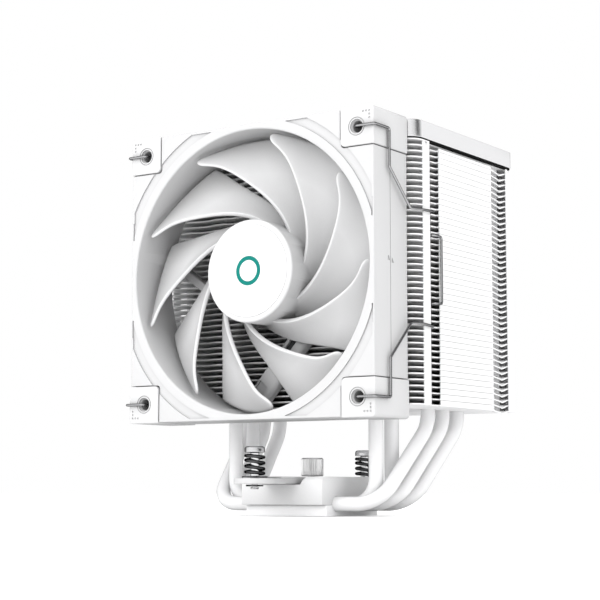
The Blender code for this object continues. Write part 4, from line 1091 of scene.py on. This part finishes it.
def blade(k, inner=36, outer=12, chord=28):
    """One cambered blade with a rounded edge all round and a round leading tip."""
    r0, r1, t_max = 20.1, 56.7, 1.6
    radii = [r0 + (r1 - 3.0 - r0) * i / inner for i in range(inner + 1)]
    radii += [r1 - 3.0 * math.cos(math.pi / 2 * i / outer) for i in range(1, outer + 1)]
    radial = len(radii) - 1
    skin = np.zeros((radial + 1, chord + 1, 3))
    for i, r in enumerate(radii):
        la, ly, ta, ty = blade_edges((r - 57.0) / 36.0)
        flare = 5.2 * math.exp(-((r1 - r) / 6.0) ** 2)
        la += 0.911 * flare / r1
        ly -= 0.3 * flare
        cut = tip_cut(r1 - r)
        for j in range(chord + 1):
            t = 0.5 - 0.5 * math.cos(math.pi * j / chord)
            t = cut + (1.0 - cut) * t
            camber = 0.10 * math.sin(math.pi * t)
            a = la + (ta - la) * (t - camber * 0.55) + math.radians(-40.0 * k)
            y = ly + (ty - ly) * (t + camber * 0.9)
            skin[i, j] = (r * math.cos(a), y, FAN_Z + r * math.sin(a))
    du = np.gradient(skin, axis=0)
    dv = np.gradient(skin, axis=1)
    nrm = np.cross(du, dv)
    nrm /= np.maximum(np.linalg.norm(nrm, axis=2, keepdims=True), 1e-9)
    half = np.zeros((radial + 1, chord + 1))
    for i in range(radial + 1):
        s = (radii[i] - r0) / (r1 - r0)
        body = t_max * (1.25 - 0.5 * s) / 2
        tip = math.sqrt(max(0.0, 1 - max(0.0, (s - 0.965) / 0.035) ** 2))
        for j in range(chord + 1):
            t = 0.5 - 0.5 * math.cos(math.pi * j / chord)
            edge = min(t / 0.03, (1 - t) / 0.04, 1.0)
            prof = math.sqrt(max(0.0, 1 - (1 - edge) ** 2)) * (1.0 - 0.35 * t)
            half[i, j] = max(body * prof * max(tip, 0.12), 0.03)
    bm = bmesh.new()
    f = [[bm.verts.new(skin[i, j] + nrm[i, j] * half[i, j]) for j in range(chord + 1)] for i in range(radial + 1)]
    g = [[bm.verts.new(skin[i, j] - nrm[i, j] * half[i, j]) for j in range(chord + 1)] for i in range(radial + 1)]
    for i in range(radial):
        for j in range(chord):
            bm.faces.new((f[i][j], f[i + 1][j], f[i + 1][j + 1], f[i][j + 1]))
            bm.faces.new((g[i][j], g[i][j + 1], g[i + 1][j + 1], g[i + 1][j]))
    for i in range(radial):
        for j in (0, chord):
            bm.faces.new((f[i][j], g[i][j], g[i + 1][j], f[i + 1][j]))
    for i in (0, radial):
        for j in range(chord):
            bm.faces.new((f[i][j], f[i][j + 1], g[i][j + 1], g[i][j]))
    return bm


hub_prof = rounded_profile(
    [(0, -45.8), (18.75, -45.8), (18.75, -46.2), (21.0, -46.2), (21.0, -27.0), (19.1, -27.0),
     (19.1, -43.9), (0, -43.9)], [0, 0.05, 0.2, 2.0, 0.4, 0.3, 0.6, 0], 8)
imp = raw("impeller_body", turned(hub_prof, 144, 'Y', (0, 0, FAN_Z)))
blades = raw("blades", merged([blade(k) for k in range(9)]))
imp = combine(imp, [blades], 'UNION', smooth=50)
finish_piece(imp, "blade", "rotor", ["impeller"])

prof = rounded_profile([(0, -46.45), (18.74, -46.45), (18.74, -46.0), (0, -46.0)], [0, 0.12, 0, 0], 4)
ob = make("hub_badge_disc", turned(prof, 128, 'Y', (0, 0, FAN_Z)), 40)
finish_piece(ob, "badge", "rotor", ["hub_badge"])
prof = [(4.3, -46.5), (6.0, -46.5), (6.0, -46.44), (4.3, -46.44)]
ob = make("hub_badge_ring_mark", turned(prof, 96, 'Y', (0, 0, FAN_Z)), 40)
finish_piece(ob, "teal", "rotor", [])

# -- cable and plug
crun = [Vector((p.x, -24.0, FAN_Z + p.y)) for p in cable_run()[:-1]]
z = crun[-1].z
crun += [Vector((-66.6, -24.0, z)), Vector((-66.6, 24.6, z))]
ob = make("fan_cable_jacket", swept(fillet_path(crun, [2.0, 6.0, 6.0, 4.0], 8.0), 1.2, 24), 60)
finish_piece(ob, "cable", "fan", ["fan_cable"])
x, y = -66.6, 24.3
plug = raw("fan_plug_body", block((x - 1.9, y, z - 5.2), (x + 1.9, y + 14.0, z + 5.2)))
plug = bevel(plug, 0.35, 3, 60)
ridge = [bevel(raw("rg%d" % k, block((x - 2.5, y + 2.0, z + c - 0.6), (x - 1.5, y + 13.0, z + c + 0.6))), 0.2, 2, 60)
         for k, c in enumerate((-2.4, 2.4))]
plug = combine(plug, ridge, 'UNION')
plug = combine(plug, [raw("pp%d" % i, block((x - 0.55, y + 5.0, z - 3.81 + 2.54 * i - 0.55),
                                            (x + 0.55, y + 18.0, z - 3.81 + 2.54 * i + 0.55))) for i in range(4)])
finish_piece(plug, "frame", "fan", ["fan_plug"])


# -- wire clips
def clip_points(side):
    x0, yf, xs = 61.3, -48.6, 64.55
    up = [(52.5, yf + 3.2, 52.5), (52.5, yf, 52.5), (x0, yf, 52.5), (x0, -37.6, 52.5), (x0, -37.6, 37.2),
          (x0 + 1.0, -23.4, 22.8), (xs, -18.2, 22.8), (xs, -9.6, 23.2), (61.2, -8.2, 22.6),
          (61.2, -8.2, 13.9), (xs, -7.2, 13.7), (xs, -2.8, 13.6)]
    down = [(a, b, -c) for a, b, c in reversed(up)]
    return [Vector((side * a, b, FAN_Z + c)) for a, b, c in up + down]


for tag, side in (("left", -1), ("right", 1)):
    radii = [1.0, 1.0, 1.0, 1.2, 1.2, 1.0, 1.0, 0.8, 0.8, 0.6, 1.0]
    path = fillet_path(clip_points(side), radii + list(reversed(radii)), 12.0)
    ob = make("wire_clip_spring_" + tag, swept(path, 0.52, 20, 0.3), 60)
    finish_piece(ob, "wire", "clip_" + tag, ["wire_clip_" + tag])

# ===================================================== floor, light, camera
bpy.ops.mesh.primitive_plane_add(size=12.0, location=(0, 0, -0.0002))
floor = bpy.context.active_object
floor.name = "floor"
m, nt, p = new_mat("pale_floor")
fn = noise(nt, coords(nt), 9.0)
nt.links.new(ramp(nt, fn, [(0.3, (0.84, 0.84, 0.84)), (0.7, (0.86, 0.86, 0.86))]), p.inputs["Base Color"])
p.inputs["Roughness"].default_value = 0.9
p.inputs["Specular IOR Level"].default_value = 0.1
glow = node(nt, "ShaderNodeLightPath")
p.inputs["Emission Color"].default_value = (1, 1, 1, 1)
nt.links.new(math_node(nt, 'MULTIPLY', glow.outputs["Is Camera Ray"], 0.45), p.inputs["Emission Strength"])
seen_from_below = node(nt, "ShaderNodeNewGeometry")
see_through = node(nt, "ShaderNodeBsdfTransparent")
one_sided = node(nt, "ShaderNodeMixShader")
nt.links.new(seen_from_below.outputs["Backfacing"], one_sided.inputs[0])
nt.links.new(p.outputs[0], one_sided.inputs[1])
nt.links.new(see_through.outputs[0], one_sided.inputs[2])
fout = [q for q in nt.nodes if q.type == 'OUTPUT_MATERIAL'][0]
nt.links.new(one_sided.outputs[0], fout.inputs["Surface"])
floor.data.materials.append(m)

world = bpy.data.worlds.new("studio")
bpy.context.scene.world = world
world.use_nodes = True
wt = world.node_tree
wt.nodes.clear()
wout = node(wt, "ShaderNodeOutputWorld")
tc = node(wt, "ShaderNodeTexCoord")
sep = node(wt, "ShaderNodeSeparateXYZ")
wt.links.new(tc.outputs["Generated"], sep.inputs[0])
az = math_node(wt, 'ARCTAN2', sep.outputs["X"], math_node(wt, 'MULTIPLY', sep.outputs["Y"], -1.0))
az01 = math_node(wt, 'ADD', math_node(wt, 'DIVIDE', az, 2 * math.pi), 0.5)


def deg(a):
    return a / 360.0 + 0.5


stripes = ramp(wt, az01, [
    (deg(-178), (0.35,) * 3), (deg(-120), (0.35,) * 3), (deg(-85), (0.30,) * 3), (deg(-62), (1.0,) * 3),
    (deg(-8), (1.05,) * 3), (deg(40), (0.92,) * 3), (deg(66), (0.66,) * 3), (deg(88), (0.02,) * 3),
    (deg(104), (0.02,) * 3), (deg(126), (0.65,) * 3), (deg(138), (1.0,) * 3), (deg(160), (1.0,) * 3), (deg(178), (0.35,) * 3)])
el = ramp(wt, math_node(wt, 'ADD', math_node(wt, 'MULTIPLY', sep.outputs["Z"], 0.5), 0.5),
          [(0.0, (0.10,) * 3), (0.40, (0.25,) * 3), (0.47, (1.0,) * 3), (0.86, (1.0,) * 3), (1.0, (0.45,) * 3)])
glo = node(wt, "ShaderNodeMix", data_type='RGBA', blend_type='MULTIPLY')
glo.inputs[0].default_value = 1.0
wt.links.new(stripes, glo.inputs[6])
wt.links.new(el, glo.inputs[7])
soft = ramp(wt, math_node(wt, 'ADD', math_node(wt, 'MULTIPLY', sep.outputs["Z"], 0.5), 0.5),
            [(0.0, (0.35,) * 3), (0.45, (0.62,) * 3), (0.62, (0.9,) * 3), (1.0, (1.0,) * 3)])
lp = node(wt, "ShaderNodeLightPath")
b_cam = node(wt, "ShaderNodeBackground")
b_cam.inputs[0].default_value = (1, 1, 1, 1)
b_cam.inputs[1].default_value = 1.0
b_glo = node(wt, "ShaderNodeBackground")
wt.links.new(glo.outputs[2], b_glo.inputs[0])
b_glo.inputs[1].default_value = 1.0
# more light comes from the front right than from behind
toward = math_node(wt, 'ADD', math_node(wt, 'MULTIPLY', sep.outputs["X"], 0.555),
                   math_node(wt, 'MULTIPLY', sep.outputs["Y"], -0.832))
b_dif = node(wt, "ShaderNodeBackground")
wt.links.new(soft, b_dif.inputs[0])
wt.links.new(math_node(wt, 'ADD', math_node(wt, 'MULTIPLY', toward, 0.34), 1.16), b_dif.inputs[1])
mix1 = node(wt, "ShaderNodeMixShader")
wt.links.new(lp.outputs["Is Glossy Ray"], mix1.inputs[0])
wt.links.new(b_dif.outputs[0], mix1.inputs[1])
wt.links.new(b_glo.outputs[0], mix1.inputs[2])
mix2 = node(wt, "ShaderNodeMixShader")
wt.links.new(lp.outputs["Is Camera Ray"], mix2.inputs[0])
wt.links.new(mix1.outputs[0], mix2.inputs[1])
wt.links.new(b_cam.outputs[0], mix2.inputs[2])
wt.links.new(mix2.outputs[0], wout.inputs[0])


def area(name, loc, target, size, power):
    li = bpy.data.lights.new(name, 'AREA')
    li.shape = 'RECTANGLE'
    li.size, li.size_y = size
    li.energy = power
    ob = bpy.data.objects.new(name, li)
    COL.objects.link(ob)
    ob.location = loc
    d = Vector(target) - Vector(loc)
    ob.rotation_euler = d.to_track_quat('-Z', 'Y').to_euler()
    ob.visible_glossy = False
    return ob


area("key_front", (-0.25, -1.15, 0.55), (0, 0, 0.08), (1.0, 0.8), 6.5)
area("fill_right", (1.2, -0.1, 0.35), (0, 0, 0.08), (0.8, 0.8), 1.8)
area("top", (0.0, 0.0, 1.2), (0, 0, 0.08), (1.0, 1.0), 3.0)

sc = bpy.context.scene
sc.view_settings.view_transform = 'Standard'
sc.view_settings.look = 'None'
cam_data = bpy.data.cameras.new("camera")
cam = bpy.data.objects.new("camera", cam_data)
COL.objects.link(cam)
cam.location = (0.38739, -0.58056, 0.00970)
cam.rotation_euler = (math.pi / 2 + math.radians(6.64), 0.0, math.radians(34.14))
cam_data.lens = 99.07
cam_data.sensor_fit = 'HORIZONTAL'
cam_data.sensor_width = 36.0
cam_data.clip_start = 0.01
cam_data.clip_end = 50.0
sc.camera = cam
